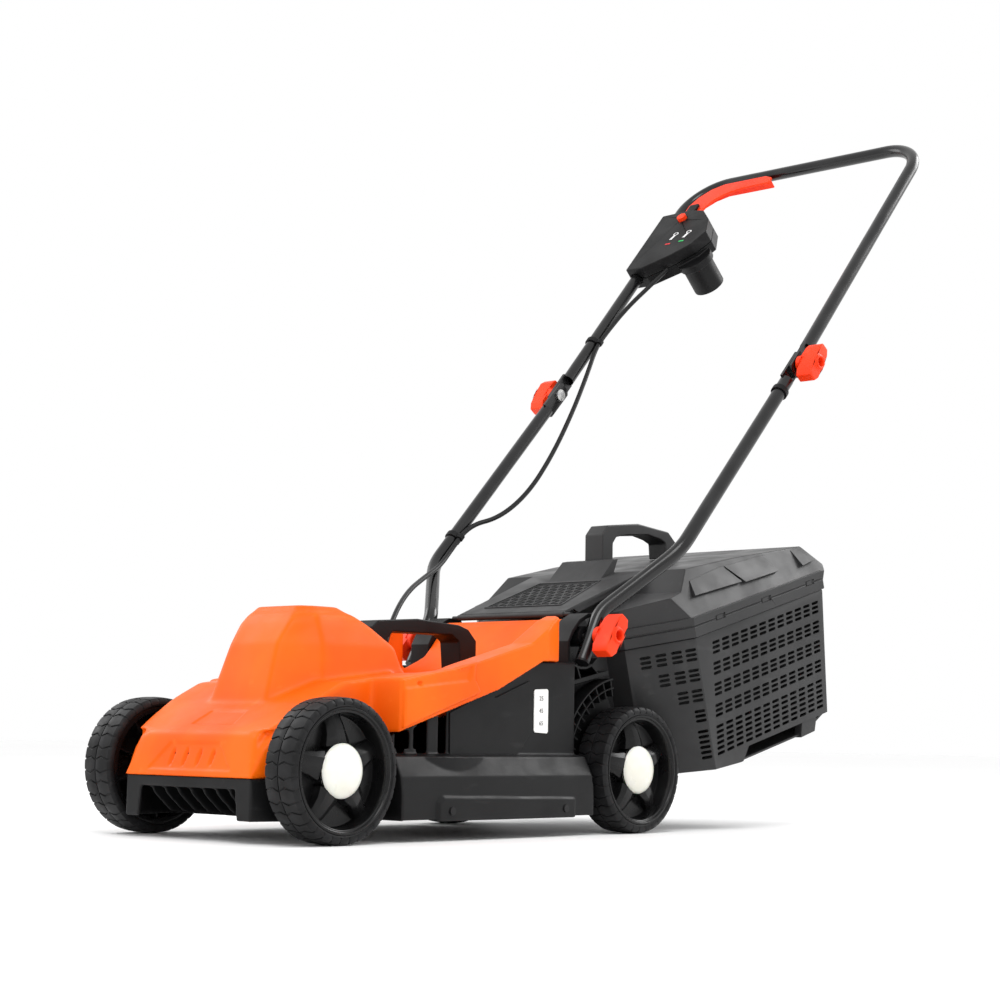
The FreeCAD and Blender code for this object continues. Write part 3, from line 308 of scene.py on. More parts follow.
INK_BLACK = print_ink("ink_black", (0.02, 0.02, 0.02))
INK_WHITE = print_ink("ink_white", (0.8, 0.8, 0.8))
INK_RED = print_ink("ink_red", (0.75, 0.02, 0.03))
INK_GREEN = print_ink("ink_green", (0.02, 0.5, 0.12))


# ---------------------------------------------------------------- meshes

def linked(name, mesh):
    made = bpy.data.objects.new(name, mesh)
    bpy.context.scene.collection.objects.link(made)
    return made


def settled(piece):
    """Applies the modifiers, so that what is left is a plain mesh."""
    bpy.context.view_layer.update()
    ready = piece.evaluated_get(bpy.context.evaluated_depsgraph_get())
    mesh = bpy.data.meshes.new_from_object(ready)
    piece.modifiers.clear()
    old = piece.data
    piece.data = mesh
    if old.users == 0:
        bpy.data.meshes.remove(old)
    return piece


def shaded(piece, angle=32):
    """Smooth shading that breaks at edges sharper than the angle."""
    work = bmesh.new()
    work.from_mesh(piece.data)
    for face in work.faces:
        face.smooth = True
    for edge in work.edges:
        edge.smooth = len(edge.link_faces) == 2 and edge.calc_face_angle(0) < math.radians(angle)
    work.to_mesh(piece.data)
    work.free()
    return piece


def node_copy(node, name, dissolve=0.0):
    """A merged copy of a CAD node's mesh; dissolve joins faces that meet at less than so many degrees."""
    mesh = NODES[node].data.copy()
    mesh.materials.clear()
    work = bmesh.new()
    work.from_mesh(mesh)
    bmesh.ops.remove_doubles(work, verts=work.verts, dist=0.00002)
    if dissolve:
        bmesh.ops.dissolve_limit(work, angle_limit=math.radians(dissolve), verts=work.verts,
                                 edges=work.edges)
    bmesh.ops.recalc_face_normals(work, faces=work.faces)
    work.to_mesh(mesh)
    work.free()
    for attribute in list(mesh.attributes):
        if attribute.name == "custom_normal":
            mesh.attributes.remove(attribute)
    return linked(name, mesh)


def eased(piece, width_mm, segments=2, angle=26):
    """Rounds the sharp edges, as a mould does."""
    bevel = piece.modifiers.new("edge", "BEVEL")
    bevel.width = width_mm * MM
    bevel.segments = segments
    bevel.limit_method = "ANGLE"
    bevel.angle_limit = math.radians(angle)
    bevel.use_clamp_overlap = False
    bevel.miter_outer = "MITER_ARC"
    bevel.harden_normals = False
    settled(piece)
    shaded(piece, 30)
    weigh = piece.modifiers.new("normals", "WEIGHTED_NORMAL")
    weigh.keep_sharp = True
    weigh.weight = 60
    return settled(piece)


def carved(piece, cutter, how="DIFFERENCE"):
    tool = piece.modifiers.new("cut", "BOOLEAN")
    tool.operation = how
    tool.solver = "EXACT"
    tool.object = cutter
    settled(piece)
    bpy.data.objects.remove(cutter)
    return piece


def placed(piece, matrix):
    piece.data.transform(matrix)
    if matrix.to_3x3().determinant() < 0:
        piece.data.flip_normals()
    return piece


def joined(name, pieces):
    """One mesh from several."""
    work = bmesh.new()
    finishes = []
    for piece in pieces:
        shift = []
        for material in piece.data.materials:
            if material not in finishes:
                finishes.append(material)
            shift.append(finishes.index(material))
        first = len(work.faces)
        work.from_mesh(piece.data)
        work.faces.ensure_lookup_table()
        for face in work.faces[first:]:
            if shift:
                face.material_index = shift[face.material_index]
    mesh = bpy.data.meshes.new(name)
    work.to_mesh(mesh)
    work.free()
    for material in finishes:
        mesh.materials.append(material)
    for piece in pieces:
        bpy.data.objects.remove(piece)
    return linked(name, mesh)


def from_faces(name, points, faces):
    mesh = bpy.data.meshes.new(name)
    mesh.from_pydata([Vector(p) * MM for p in points], [], faces)
    mesh.validate()
    piece = linked(name, mesh)
    work = bmesh.new()
    work.from_mesh(mesh)
    bmesh.ops.remove_doubles(work, verts=work.verts, dist=0.000005)
    bmesh.ops.recalc_face_normals(work, faces=work.faces)
    work.to_mesh(mesh)
    work.free()
    return piece


def slab(name, outline, plane, low, high, top=None):
    """A prism in millimetres: outline drawn in plane, from low to high; top is the far end's own outline."""
    axes = {"XY": (0, 1, 2), "XZ": (0, 2, 1), "YZ": (1, 2, 0)}[plane]
    points = []
    for ring, level in ((outline, low), (top or outline, high)):
        for a, b in ring:
            point = [0, 0, 0]
            point[axes[0]], point[axes[1]], point[axes[2]] = a, b, level
            points.append(point)
    count = len(outline)
    faces = [list(range(count)), list(range(2 * count - 1, count - 1, -1))]
    faces += [[i, (i + 1) % count, count + (i + 1) % count, count + i] for i in range(count)]
    return from_faces(name, points, faces)


def lathe(name, profile, segments=96, close=False):
    """A shape turned about X: profile is a list of (radius, x) in millimetres."""
    points, faces = [], []
    for step in range(segments):
        angle = 2 * math.pi * step / segments
        points += [(x, radius * math.cos(angle), radius * math.sin(angle)) for radius, x in profile]
    count = len(profile)
    for step in range(segments):
        here, after = step * count, (step + 1) % segments * count
        for i in range(count if close else count - 1):
            j = (i + 1) % count
            faces.append([here + i, here + j, after + j, after + i])
    return from_faces(name, points, faces)


def shrunk(outline, by):
    """The outline moved towards its own middle by a distance."""
    cx = sum(p[0] for p in outline) / len(outline)
    cy = sum(p[1] for p in outline) / len(outline)
    moved = []
    for x, y in outline:
        reach = math.hypot(x - cx, y - cy)
        share = max(0.05, 1 - by / reach) if reach else 1
        moved.append((cx + (x - cx) * share, cy + (y - cy) * share))
    return moved


# ---------------------------------------------------------------- repeats

def repeat_tree():
    """Geometry Nodes: one unit set out in rows, or round X, and made real."""
    tree = bpy.data.node_groups.new("repeat_units", "GeometryNodeTree")
    for name, kind in (("Unit", "NodeSocketObject"), ("Count", "NodeSocketInt"), ("Rows", "NodeSocketInt"),
                       ("Step", "NodeSocketVector"), ("Row Step", "NodeSocketVector"),
                       ("Turn", "NodeSocketVector"),
                       ("Finish", "NodeSocketMaterial")):
        tree.interface.new_socket(name=name, in_out="INPUT", socket_type=kind)
    tree.interface.new_socket(name="Geometry", in_out="OUTPUT", socket_type="NodeSocketGeometry")

    def node(kind, **values):
        made = tree.nodes.new(kind)
        for key, value in values.items():
            setattr(made, key, value)
        return made

    def link(a, b):
        tree.links.new(a, b)

    given = node("NodeGroupInput")
    total = node("ShaderNodeMath", operation="MULTIPLY")
    link(given.outputs["Count"], total.inputs[0])
    link(given.outputs["Rows"], total.inputs[1])
    line = node("GeometryNodeMeshLine", mode="OFFSET")
    link(total.outputs[0], line.inputs["Count"])
    line.inputs["Offset"].default_value = (0, 0, 0)
    index = node("GeometryNodeInputIndex")
    column = node("ShaderNodeMath", operation="MODULO")
    share = node("ShaderNodeMath", operation="DIVIDE")
    row = node("ShaderNodeMath", operation="FLOOR")
    link(index.outputs[0], column.inputs[0])
    link(given.outputs["Count"], column.inputs[1])
    link(index.outputs[0], share.inputs[0])
    link(given.outputs["Count"], share.inputs[1])
    link(share.outputs[0], row.inputs[0])

    def scaled(vector, factor):
        made = node("ShaderNodeVectorMath", operation="SCALE")
        link(vector, made.inputs[0])
        link(factor, made.inputs["Scale"])
        return made.outputs[0]

    added = node("ShaderNodeVectorMath", operation="ADD")
    link(scaled(given.outputs["Step"], column.outputs[0]), added.inputs[0])
    link(scaled(given.outputs["Row Step"], row.outputs[0]), added.inputs[1])
    moved = node("GeometryNodeSetPosition")
    link(line.outputs["Mesh"], moved.inputs["Geometry"])
    link(added.outputs[0], moved.inputs["Position"])
    unit = node("GeometryNodeObjectInfo")
    unit.inputs["As Instance"].default_value = True
    link(given.outputs["Unit"], unit.inputs["Object"])
    spread = node("GeometryNodeInstanceOnPoints")
    link(moved.outputs["Geometry"], spread.inputs["Points"])
    link(unit.outputs["Geometry"], spread.inputs["Instance"])
    link(scaled(given.outputs["Turn"], column.outputs[0]), spread.inputs["Rotation"])
    real = node("GeometryNodeRealizeInstances")
    link(spread.outputs["Instances"], real.inputs["Geometry"])
    finish = node("GeometryNodeSetMaterial")
    link(real.outputs["Geometry"], finish.inputs["Geometry"])
    link(given.outputs["Finish"], finish.inputs["Material"])
    result = node("NodeGroupOutput")
    link(finish.outputs["Geometry"], result.inputs["Geometry"])
    return tree


REPEAT = repeat_tree()


def repeated(name, unit, finish, count, step=(0, 0, 0), rows=1, row_step=(0, 0, 0), turn=(0, 0, 0)):
    carrier = linked(name, bpy.data.meshes.new(name))
    modifier = carrier.modifiers.new("repeat", "NODES")
    modifier.node_group = REPEAT
    values = {"Unit": unit, "Count": count, "Rows": rows, "Step": [s * MM for s in step],
              "Row Step": [s * MM for s in row_step], "Turn": list(turn), "Finish": finish}
    for socket in REPEAT.interface.items_tree:
        if socket.in_out == "INPUT":
            modifier[socket.identifier] = values[socket.name]
    settled(carrier)
    bpy.data.objects.remove(unit)
    return carrier


def handed_over(piece, body, slot, *nodes, finish=None):
    """Gives a finished piece the slot's finish, or the one given, where it needs one; sets it on its body
    and hides what it stands for.
    """
    if finish or not piece.data.materials:
        piece.data.materials.clear()
        piece.data.materials.append(finish or FINISH[slot])
    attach(piece, body)
    if nodes:
        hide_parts(*nodes)
    return piece


def stood_in(node, piece, finish=None):
    return handed_over(piece, BODY_OF[node], SLOT_OF[node], node, finish=finish)


# ---------------------------------------------------------------- wheels

TREAD = 80
PITCHES = 18


def crown(x):
    """Tyre radius at a distance from its middle line."""
    over = max(0.0, abs(x) - 20.5)
    return TREAD - 0.0032 * x * x - 0.62 * over ** 1.9


def tread_block(name, edge_low, edge_high, side):
    """One raised block of the tread, from the middle line over the shoulder; edges are lists of (x, u)."""
    stations = [0.7, 4.5, 9, 15, 20.5, 22, 22.9, 23.25]
    points, faces = [], []

    def edge_at(edge, x):
        for (x0, u0), (x1, u1) in zip(edge, edge[1:]):
            if x <= x1:
                return u0 + (u1 - u0) * (x - x0) / (x1 - x0)
        return edge[-1][1]

    def point(x, u, drop):
        radius = crown(x) - drop
        angle = u / TREAD
        return (side * x, radius * math.sin(angle), radius * math.cos(angle))

    rows = []
    for x in stations:
        low, high = edge_at(edge_low, x), edge_at(edge_high, x)
        ends = 0.5 if x in (stations[0], stations[-1]) else 0
        offsets = [(low, 2.6), (low, 0.5 + ends), (low + 0.6, ends), (low + (high - low) / 3, ends),
                   (high - (high - low) / 3, ends), (high - 0.6, ends), (high, 0.5 + ends), (high, 2.6)]
        rows.append([point(x, u, drop) for u, drop in offsets])
    wide = len(rows[0])
    for row in rows:
        points += row
    for i in range(len(rows) - 1):
        for j in range(wide - 1):
            a = i * wide + j
            faces.append([a, a + 1, a + 1 + wide, a + wide])
    last = (len(rows) - 1) * wide
    faces.append(list(range(wide)))
    faces.append(list(range(last, last + wide)))
    bottom = [[i * wide, i * wide + wide - 1] for i in range(len(rows))]
    for (a, b), (c, d) in zip(bottom, bottom[1:]):
        faces.append([a, b, d, c])
    return from_faces(name, points, faces)


def build_tyre(name):
    zig = [(0, 8.6), (9, 4.4), (20, 7.4), (24, 7.0)]
    pitch = 2 * math.pi * TREAD / PITCHES
    gap = 0.9
    near = ([(x, -u + gap) for x, u in zig], [(x, u - gap) for x, u in zig])
    far = ([(x, u + gap) for x, u in zig], [(x, pitch - u - gap) for x, u in zig])
    parts = []
    for side in (1, -1):
        for low, high in (near, far):
            unit = tread_block("block", low, high, side)
            parts.append(repeated("blocks", unit, FINISH["tyre_black"], PITCHES,
                                  turn=(2 * math.pi / PITCHES, 0, 0)))
    side_wall = [(69.1, 21.6), (70.2, 22.5), (71.2, 22.7), (71.7, 22.2), (72.4, 22.2), (73, 23.0),
                 (75, 22.6), (76.6, 21.4),
                 (77.6, 19), (78.2, 12), (78.4, 0)]
    wall = side_wall + [(r, -x) for r, x in side_wall[-2::-1]]
    carcass = lathe("carcass", wall, 144, close=True)
    carcass.data.materials.append(FINISH["tyre_black"])
    return shaded(joined(name, parts + [carcass]), 34)


def build_rim(name):
    ring = [(69.2, 21.4), (68.7, 22.4), (67.9, 22.7), (66.8, 22.7), (66.2, 22.2), (65.7, 20.9), (64.9, 20.4),
            (63.9, 20.4),
            (63.2, 19.9), (62.7, 18.6), (61.8, 16.5), (61.2, 3.4), (60.2, 1.6), (58, 1.0), (30, 1.0),
            (29.6, 1.6), (29.6, 13.2),
            (30.6, 14), (30.6, 15.2), (29.6, 15.8), (28, 15.2), (25, 14.4), (24, 10), (5.2, 10), (5.2, -21),
            (6, -21.6),
            (15.5, -21.6), (16.5, -21), (17, -2.8), (19, -2), (57, -2), (60, -4), (61.4, -18), (62.4, -19.8),
            (66.5, -20.6),
            (68.4, -20.6), (69.2, -20)]
    parts = [lathe("ring", ring, 128, close=True)]

    def spoke_point(r, across, x):
        return (x, across, r)

    stations = [(28, 16.5, 16.3, 8.5), (34, 15.0, 16.0, 8.0), (40, 13.2, 15.3, 7.2), (50, 12.0, 12.6, 6.6),
                (57, 11.6, 9.2, 6.2),
                (62.4, 12.4, 8.2, 7)]
    points, faces = [], []
    for r, half, front, ridge in stations:
        outline = [(-half, 0.6), (-half + 0.4, front - 6.6), (-half + 1.4, front - 5.6),
                   (-ridge * 0.55, front - 0.3),
                   (-ridge * 0.4, front), (ridge, front), (ridge + 0.7, front - 0.5),
                   (half - 1.2, front - 2.6),
                   (half - 0.3, front - 3.6), (half, 0.6)]
        points += [spoke_point(r, a, x) for a, x in outline]
    wide = 10
    for i in range(len(stations) - 1):
        for j in range(wide):
            a, b = i * wide + j, i * wide + (j + 1) % wide
            faces.append([a, b, b + wide, a + wide])
    faces += [list(range(wide)), list(range(len(points) - wide, len(points)))]
    spoke = from_faces("spoke", points, faces)
    placed(spoke, Matrix.Rotation(math.radians(78), 4, "X"))
    parts.append(repeated("spokes", spoke, RIM_BLACK, 5, turn=(2 * math.pi / 5, 0, 0)))
    rib = slab("rib", [(-1.1, 15), (1.1, 15), (1.1, 61.8), (-1.1, 61.8)], "YZ", -17, -1.5)
    parts.append(repeated("dish_ribs", rib, RIM_BLACK, 10, turn=(2 * math.pi / 10, 0, 0)))
    return shaded(joined(name, parts), 30)


def build_cap(name):
    dome = [(0.01, 25.2), (7, 25.0), (14, 24.2), (20, 22.9), (24.6, 21.2), (27.6, 19.3), (29.2, 17.6),
            (30.0, 15.8), (30.2, 14.4),
            (29.9, 13.0), (29.0, 12.4), (27.6, 12.4), (26.4, 13.6), (0.01, 13.6)]
    return shaded(lathe(name, dome, 96), 50)


def build_wheels():
    makers = {"tyre": (build_tyre, "tyre_black", FINISH["tyre_black"]),
              "rim": (build_rim, "black_plastic", RIM_BLACK),
              "cap": (build_cap, "white_cap", FINISH["white_cap"])}
    for part, (maker, slot, finish) in makers.items():
        pattern = maker(part + "_pattern")
        for end in ("front", "rear"):
            for side, sign in SIDES.items():
                low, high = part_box("tyre_%s_%s" % (end, side))
                middle = (low + high) / 2
                wheel = linked("%s_moulding_%s_%s" % (part, end, side), pattern.data.copy())
                flip = Matrix.Diagonal((sign, 1, 1, 1))
                placed(wheel, Matrix.Translation(middle) @ flip)
                handed_over(wheel, "wheel_%s_%s" % (end, side), slot, "%s_%s_%s" % (part, end, side),
                            finish=finish)
        bpy.data.objects.remove(pattern)


# ---------------------------------------------------------------- cables

def build_cables():
    """The two leads along the handle, each bending with the joint it crosses."""
    lower, upper = Vector((0, 0.69228, 0.72163)), Vector((0, 0.66907, 0.74321))
    start, tie = at(-204.2, 587.9, 402.1), at(-204.2, 902.0, 735.4)
    low_route = [start, start - lower * 0.026, at(-196, 538, 357), at(-178, 490, 338), at(-152, 430, 314),
                 at(-122, 375, 281),
                 at(-102, 338, 241), at(-97, 326, 208), at(-97, 326, 180)]
    high_route = [start, start + lower * 0.026, at(-198, 665, 437), at(-192, 722, 479), at(-189, 772, 541),
                  at(-191, 820, 611),
                  at(-198, 864, 678), tie - upper * 0.014, tie + upper * 0.022, at(-196, 960, 800),
                  at(-176, 998, 842),
                  at(-164, 1022.8, 869.6)]
    spans = {"cable_low": (low_route, "root", "lower_handle", at(-97, 326, 208), at(-196, 538, 357)),
             "cable_high": (high_route, "lower_handle", "upper_handle", at(-198, 665, 437),
                            at(-198, 864, 678))}
    for node, (route, first, second, begin, end) in spans.items():
        curve = bpy.data.curves.new(node + "_lead", "CURVE")
        curve.dimensions = "3D"
        curve.bevel_depth = 0.0035
        curve.bevel_resolution = 4
        curve.use_fill_caps = True
        spline = curve.splines.new("NURBS")
        spline.points.add(len(route) - 1)
        for point, spot in zip(spline.points, route):
            point.co = (*spot, 1)
        spline.order_u = 3
        spline.use_endpoint_u = True
        spline.resolution_u = 12
        line = linked(node + "_line", curve)
        bpy.context.view_layer.update()
        ready = line.evaluated_get(bpy.context.evaluated_depsgraph_get())
        lead = linked(node + "_lead", bpy.data.meshes.new_from_object(ready))
        bpy.data.objects.remove(line)
        shaded(lead, 60)
        lead.data.materials.clear()
        lead.data.materials.append(FINISH["cable_black"])
        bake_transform(lead, first, second, start=begin, end=end)
        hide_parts(node)


# ---------------------------------------------------------------- mouldings

EDGE = {
    "carry_handle": 2.0, "handle_bracket_left": 0.9, "handle_bracket_right": 0.9,
    "box_lid": 1.8, "box_handle": 2.4, "rear_flap": 1.0, "switch_front": 2.2, "switch_back": 1.6,
    "inlet_shroud": 1.0, "bail_lever": 1.4, "lock_button": 0.8, "clips_low": 0.5, "clip_high": 0.5,
    "cable_gland": 0.8,
    "knob_low_left": 1.8, "knob_low_right": 1.8, "knob_high_left": 1.8, "knob_high_right": 1.8,
}


def build_mouldings():
    """Pieces that only need their edges eased."""
    for node, edge in EDGE.items():
        piece = node_copy(node, node + "_moulding")
        stood_in(node, eased(piece, edge, 3 if edge > 1.5 else 2))


NOSE_FRONT = (-74, 70)
NOSE_CREASE = (-59, 119)
RECESS_DEPTH = 1.4
SLIT_DEPTH = 4.2


def on_nose(outline, depth):
    """A cutter that sinks into the slanted nose face: outline is (x, z), depth in millimetres."""
    slope = (NOSE_CREASE[0] - NOSE_FRONT[0]) / (NOSE_CREASE[1] - NOSE_FRONT[1])
    points = []
    for reach in (-12, depth):
        points += [(x, NOSE_FRONT[0] + (z - NOSE_FRONT[1]) * slope + reach, z) for x, z in outline]
    count = len(outline)
    faces = [list(range(count)), list(range(2 * count - 1, count - 1, -1))]
    faces += [[i, (i + 1) % count, count + (i + 1) % count, count + i] for i in range(count)]
    return from_faces("nose_cutter", points, faces)


def lens(x, low, high, half, lean):
    """Outline of a slit, pointed at both ends and leaning."""
    middle = (low + high) / 2
    right, left = [], []
    for step in range(9):
        share = step / 8
        z = low + (high - low) * share
        wide = half * math.sin(math.pi * share) ** 0.8
        slant = lean * (z - middle)
        right.append((x + slant + wide * 0.55, z))
        left.append((x + slant - wide * 0.45, z))
    return right + left[-2:0:-1]


def moved_to_mower(piece):
    return placed(piece, Matrix.Translation(at(0, 0, 0)))


def voxelled(piece, size_mm, rounds, keep):
    """One skin over everything that was joined, with its edges rounded off."""
    skin = piece.modifiers.new("skin", "REMESH")
    skin.mode = "VOXEL"
    skin.voxel_size = size_mm * MM
    ease = piece.modifiers.new("ease", "SMOOTH")
    ease.factor = 0.5
    ease.iterations = rounds
    fewer = piece.modifiers.new("fewer", "DECIMATE")
    fewer.ratio = keep
    settled(piece)
    return shaded(piece, 60)


def lofted(name, rings, grow=0.0):
    """Closed skin through a stack of outlines given as (z, front to rear half outline)."""
    points, faces = [], []
    for z, half in rings:
        half = [(x + grow, y - grow if i < 2 else y + grow) for i, (x, y) in enumerate(half)]
        points += [(x, y, z) for x, y in half] + [(-x, y, z) for x, y in half[::-1]]
    wide = 2 * len(rings[0][1])
    for i in range(len(rings) - 1):
        for j in range(wide):
            a, b = i * wide + j, i * wide + (j + 1) % wide
            faces.append([a, b, b + wide, a + wide])
    faces += [list(range(wide)), list(range(len(points) - wide, len(points)))]
    return from_faces(name, points, faces)


def softened(piece, rounds, reach):
    """Eases only where reach(x, y, z), in millimetres, gives weight."""
    group = piece.vertex_groups.new(name="soft")
    origin = at(0, 0, 0)
    for vertex in piece.data.vertices:
        spot = (vertex.co - origin) / MM
        weight = max(0.0, min(1.0, reach(*spot)))
        if weight:
            group.add([vertex.index], weight, "REPLACE")
    ease = piece.modifiers.new("soft", "SMOOTH")
    ease.factor = 0.5
    ease.iterations = rounds
    ease.vertex_group = group.name
    settled(piece)
    piece.vertex_groups.clear()
    return piece


def build_hood():
    """Hood as one skin: rounded dome, lips over the wheels, side blades, vents and the blank badge."""
    hood = node_copy("hood", "hood_moulding", 0.4)
    around = [(-10, 151), (0, 155), (45, 178.6), (184, 195.8), (206, 201), (206, 300), (-10, 300)]
    carved(hood, moved_to_mower(slab("around", around, "YZ", -112, 112)))
    rings = [(140, [(50, -8), (90, 46), (100, 196)]), (222, [(41, 20), (72, 62), (78, 174)]),
             (246, [(43, 36), (61, 64), (65, 144)]), (257, [(40, 45), (56, 66), (57, 127)]),
             (262, [(37, 52), (49, 70), (50, 116)]), (267, [(35, 55), (45, 73), (46, 109)])]
    dome = lofted("dome", rings)
    inside = lofted("inside", [(z - 3.5, half) for z, half in rings], -3.5)
    placed(inside, Matrix.Translation((0, 0, -0.002)))
    carved(dome, inside)
    carved(hood, moved_to_mower(dome), "UNION")
    side_profile = [(-70, 74), (-60, 101), (-50, 113), (-38, 124), (-18, 140), (6, 153.5), (30, 164),
                    (52, 172), (52, 150),
                    (4, 134), (-14, 100), (-14, 71)]
    corner = [(-73, 71), (-59.5, 116), (-46, 124), (-14, 124), (-14, 71)]
    blade = [(95, 126), (150, 144), (221, 167), (227, 171), (217, 186), (217, 202), (223, 208), (184, 198),
             (95, 181)]
    for sign in SIDES.values():
        cheek = slab("cheek", side_profile, "YZ", sign * 92, sign * 127)
        plan = [(sign * x, y) for x, y in ((60, -80), (105.5, -80), (107, -72), (119.5, -30), (126.5, 15),
                                           (126.5, 60), (60, 60))]
        limit = slab("limit", plan, "XY", 60, 220)
        carved(cheek, limit, "INTERSECT")
        carved(hood, moved_to_mower(cheek), "UNION")
        fill = slab("fill", [(sign * 78, 71), (sign * 107, 71), (sign * 104, 95), (sign * 99, 124),
                             (sign * 78, 124)],
                    "XZ", -74, -26)
        carved(fill, slab("front", corner, "YZ", sign * 70, sign * 120), "INTERSECT")
        carved(hood, moved_to_mower(fill), "UNION")
    skin = hood.modifiers.new("skin", "REMESH")
    skin.mode = "VOXEL"
    skin.voxel_size = 1.7 * MM
    settled(hood)
    softened(hood, 34, lambda x, y, z: min((z - 76) / 10, (96 - y) / 14 if z < 182 else (206 - y) / 10, 1.0))
    for sign in SIDES.values():
        proud = slab("blade", blade, "YZ", sign * 160, sign * 170.5, shrunk(blade, 3))
        carved(hood, moved_to_mower(proud), "UNION")
        groove = [(70, 168), (203, 183), (210, 201), (190, 196), (70, 178)]
        carved(hood, moved_to_mower(slab("groove", groove, "YZ", sign * 168, sign * 180)))
        turns = [math.pi * k / 6 for k in range(12)]
        dimple = [(123 + 4.5 * math.cos(a), 178 + 2.6 * math.sin(a)) for a in turns]
        carved(hood, moved_to_mower(slab("dimple", dimple, "YZ", sign * 165, sign * 180)))
    carved(hood, moved_to_mower(on_nose([(-72, 77), (-42, 108), (42, 108), (72, 77)], RECESS_DEPTH)))
    for x in (-34, -11.5, 11.5, 34):
        carved(hood, moved_to_mower(on_nose(lens(x, 79, 104, 5.2, 0.16), SLIT_DEPTH)))
    badge = [(-30, -44), (42, -44), (36, -18), (-24, -18)]
    rise = (155 - NOSE_CREASE[1]) / (-1 - NOSE_CREASE[0])
    points = [(x, y, NOSE_CREASE[1] + (y - NOSE_CREASE[0]) * rise + lift) for lift in (-1.6, 10) for x,
              y in badge]
    faces = [[0, 1, 2, 3], [7, 6, 5, 4], [0, 1, 5, 4], [1, 2, 6, 5], [2, 3, 7, 6], [3, 0, 4, 7]]
    carved(hood, moved_to_mower(from_faces("badge", points, faces)))
    stood_in("hood", voxelled(hood, size_mm=1.4, rounds=4, keep=0.2))


BOX_SLOPE = math.atan2(JOINTS["box_unhook"]["axis"][2], JOINTS["box_unhook"]["axis"][1])
BOX = Matrix.Translation(at(0, 617, 251)) @ Matrix.Rotation(BOX_SLOPE, 4, "X")
CLIP_SPANS = ((50, 73), (161, 185), (275, 297))
SLOT_ROWS = ((-15, 3), (-42.3, 3), (-69.6, 3), (-96.9, 3), (-124.4, 6))
SLOT_PITCH = 22.6
SLOT_DROP = 6.4
SLOT_LEAN = 0.18


def capsule(long, tall):
    half, r = long / 2, tall / 2
    return [(-half + r, -r), (half - r, -r), (half - r * 0.3, -r * 0.7), (half, 0),
            (half - r * 0.3, r * 0.7), (half - r, r),
            (-half + r, r), (-half + r * 0.3, r * 0.7), (-half, 0), (-half + r * 0.3, -r * 0.7)]


def box_slots(sign):
    """Cutters for the slots of one side of the grass box."""
    cutters = []
    for first, rows in SLOT_ROWS:
        unit = slab("slot", capsule(17.4, 4.1), "YZ", 184, 197)
        placed(unit, Matrix.Translation(Vector((0, 45 + SLOT_LEAN * (first + 20), first)) * MM))
        if sign < 0:
            placed(unit, Matrix.Diagonal((-1, 1, 1, 1)))
        drop = SLOT_DROP if rows == 3 else 7
        cutters.append(repeated("slots", unit, None, 12, step=(0, SLOT_PITCH, 0), rows=rows,
                                row_step=(0, -SLOT_LEAN * drop, -drop)))
    along = Vector((190 - 124, 2 + 66)).normalized()
    shoulder = ((25, 46, 67, 86), (46, 67, 86), (67, 86), (86,), (86,))
    for (first, rows), spots in zip(SLOT_ROWS, shoulder):
        for spot in spots:
            unit = slab("slot", capsule(15, 4.1), "YZ", -7, 7)
            placed(unit, Matrix.Rotation(-math.atan2(along.x, along.y), 4, "Z"))
            placed(unit, Matrix.Translation(Vector((124 + along.x * spot, -66 + along.y * spot,
                                                    first)) * MM))
            if sign < 0:
                placed(unit, Matrix.Diagonal((-1, 1, 1, 1)))
            drop = SLOT_DROP if rows == 3 else 7
            cutters.append(repeated("slots", unit, None, rows, step=(0, 0, -drop)))
    return placed(joined("slot_cutters", cutters), BOX)


def band(name, path, low, high, out, inward=1.5):
    """A flat strip that follows a path of (x, y) and stands out from it."""
    points, faces = [], []
    count = len(path)
    for i, (x, y) in enumerate(path):
        into = Vector(path[i]) - Vector(path[i - 1]) if i else Vector(path[1]) - Vector(path[0])
        away = Vector(path[i + 1]) - Vector(path[i]) if i < count - 1 else into
        into.normalize()
        away.normalize()
        normal = Vector((into.y + away.y, -into.x - away.x)).normalized()
        stretch = 1 / max(0.4, normal.dot(Vector((into.y, -into.x))))
        near, far = -inward * stretch, out * stretch
        for reach, z in ((near, low), (far - 0.5, low), (far, low + 0.6), (far, high - 0.6),
                         (far - 0.5, high), (near, high)):
            points.append((x + normal.x * reach, y + normal.y * reach, z))
    for i in range(count - 1):
        for j in range(6):
            a, b = i * 6 + j, i * 6 + (j + 1) % 6
            faces.append([a, b, b + 6, a + 6])
    faces += [list(range(6)), list(range(6 * count - 6, 6 * count))]
    return from_faces(name, points, faces)


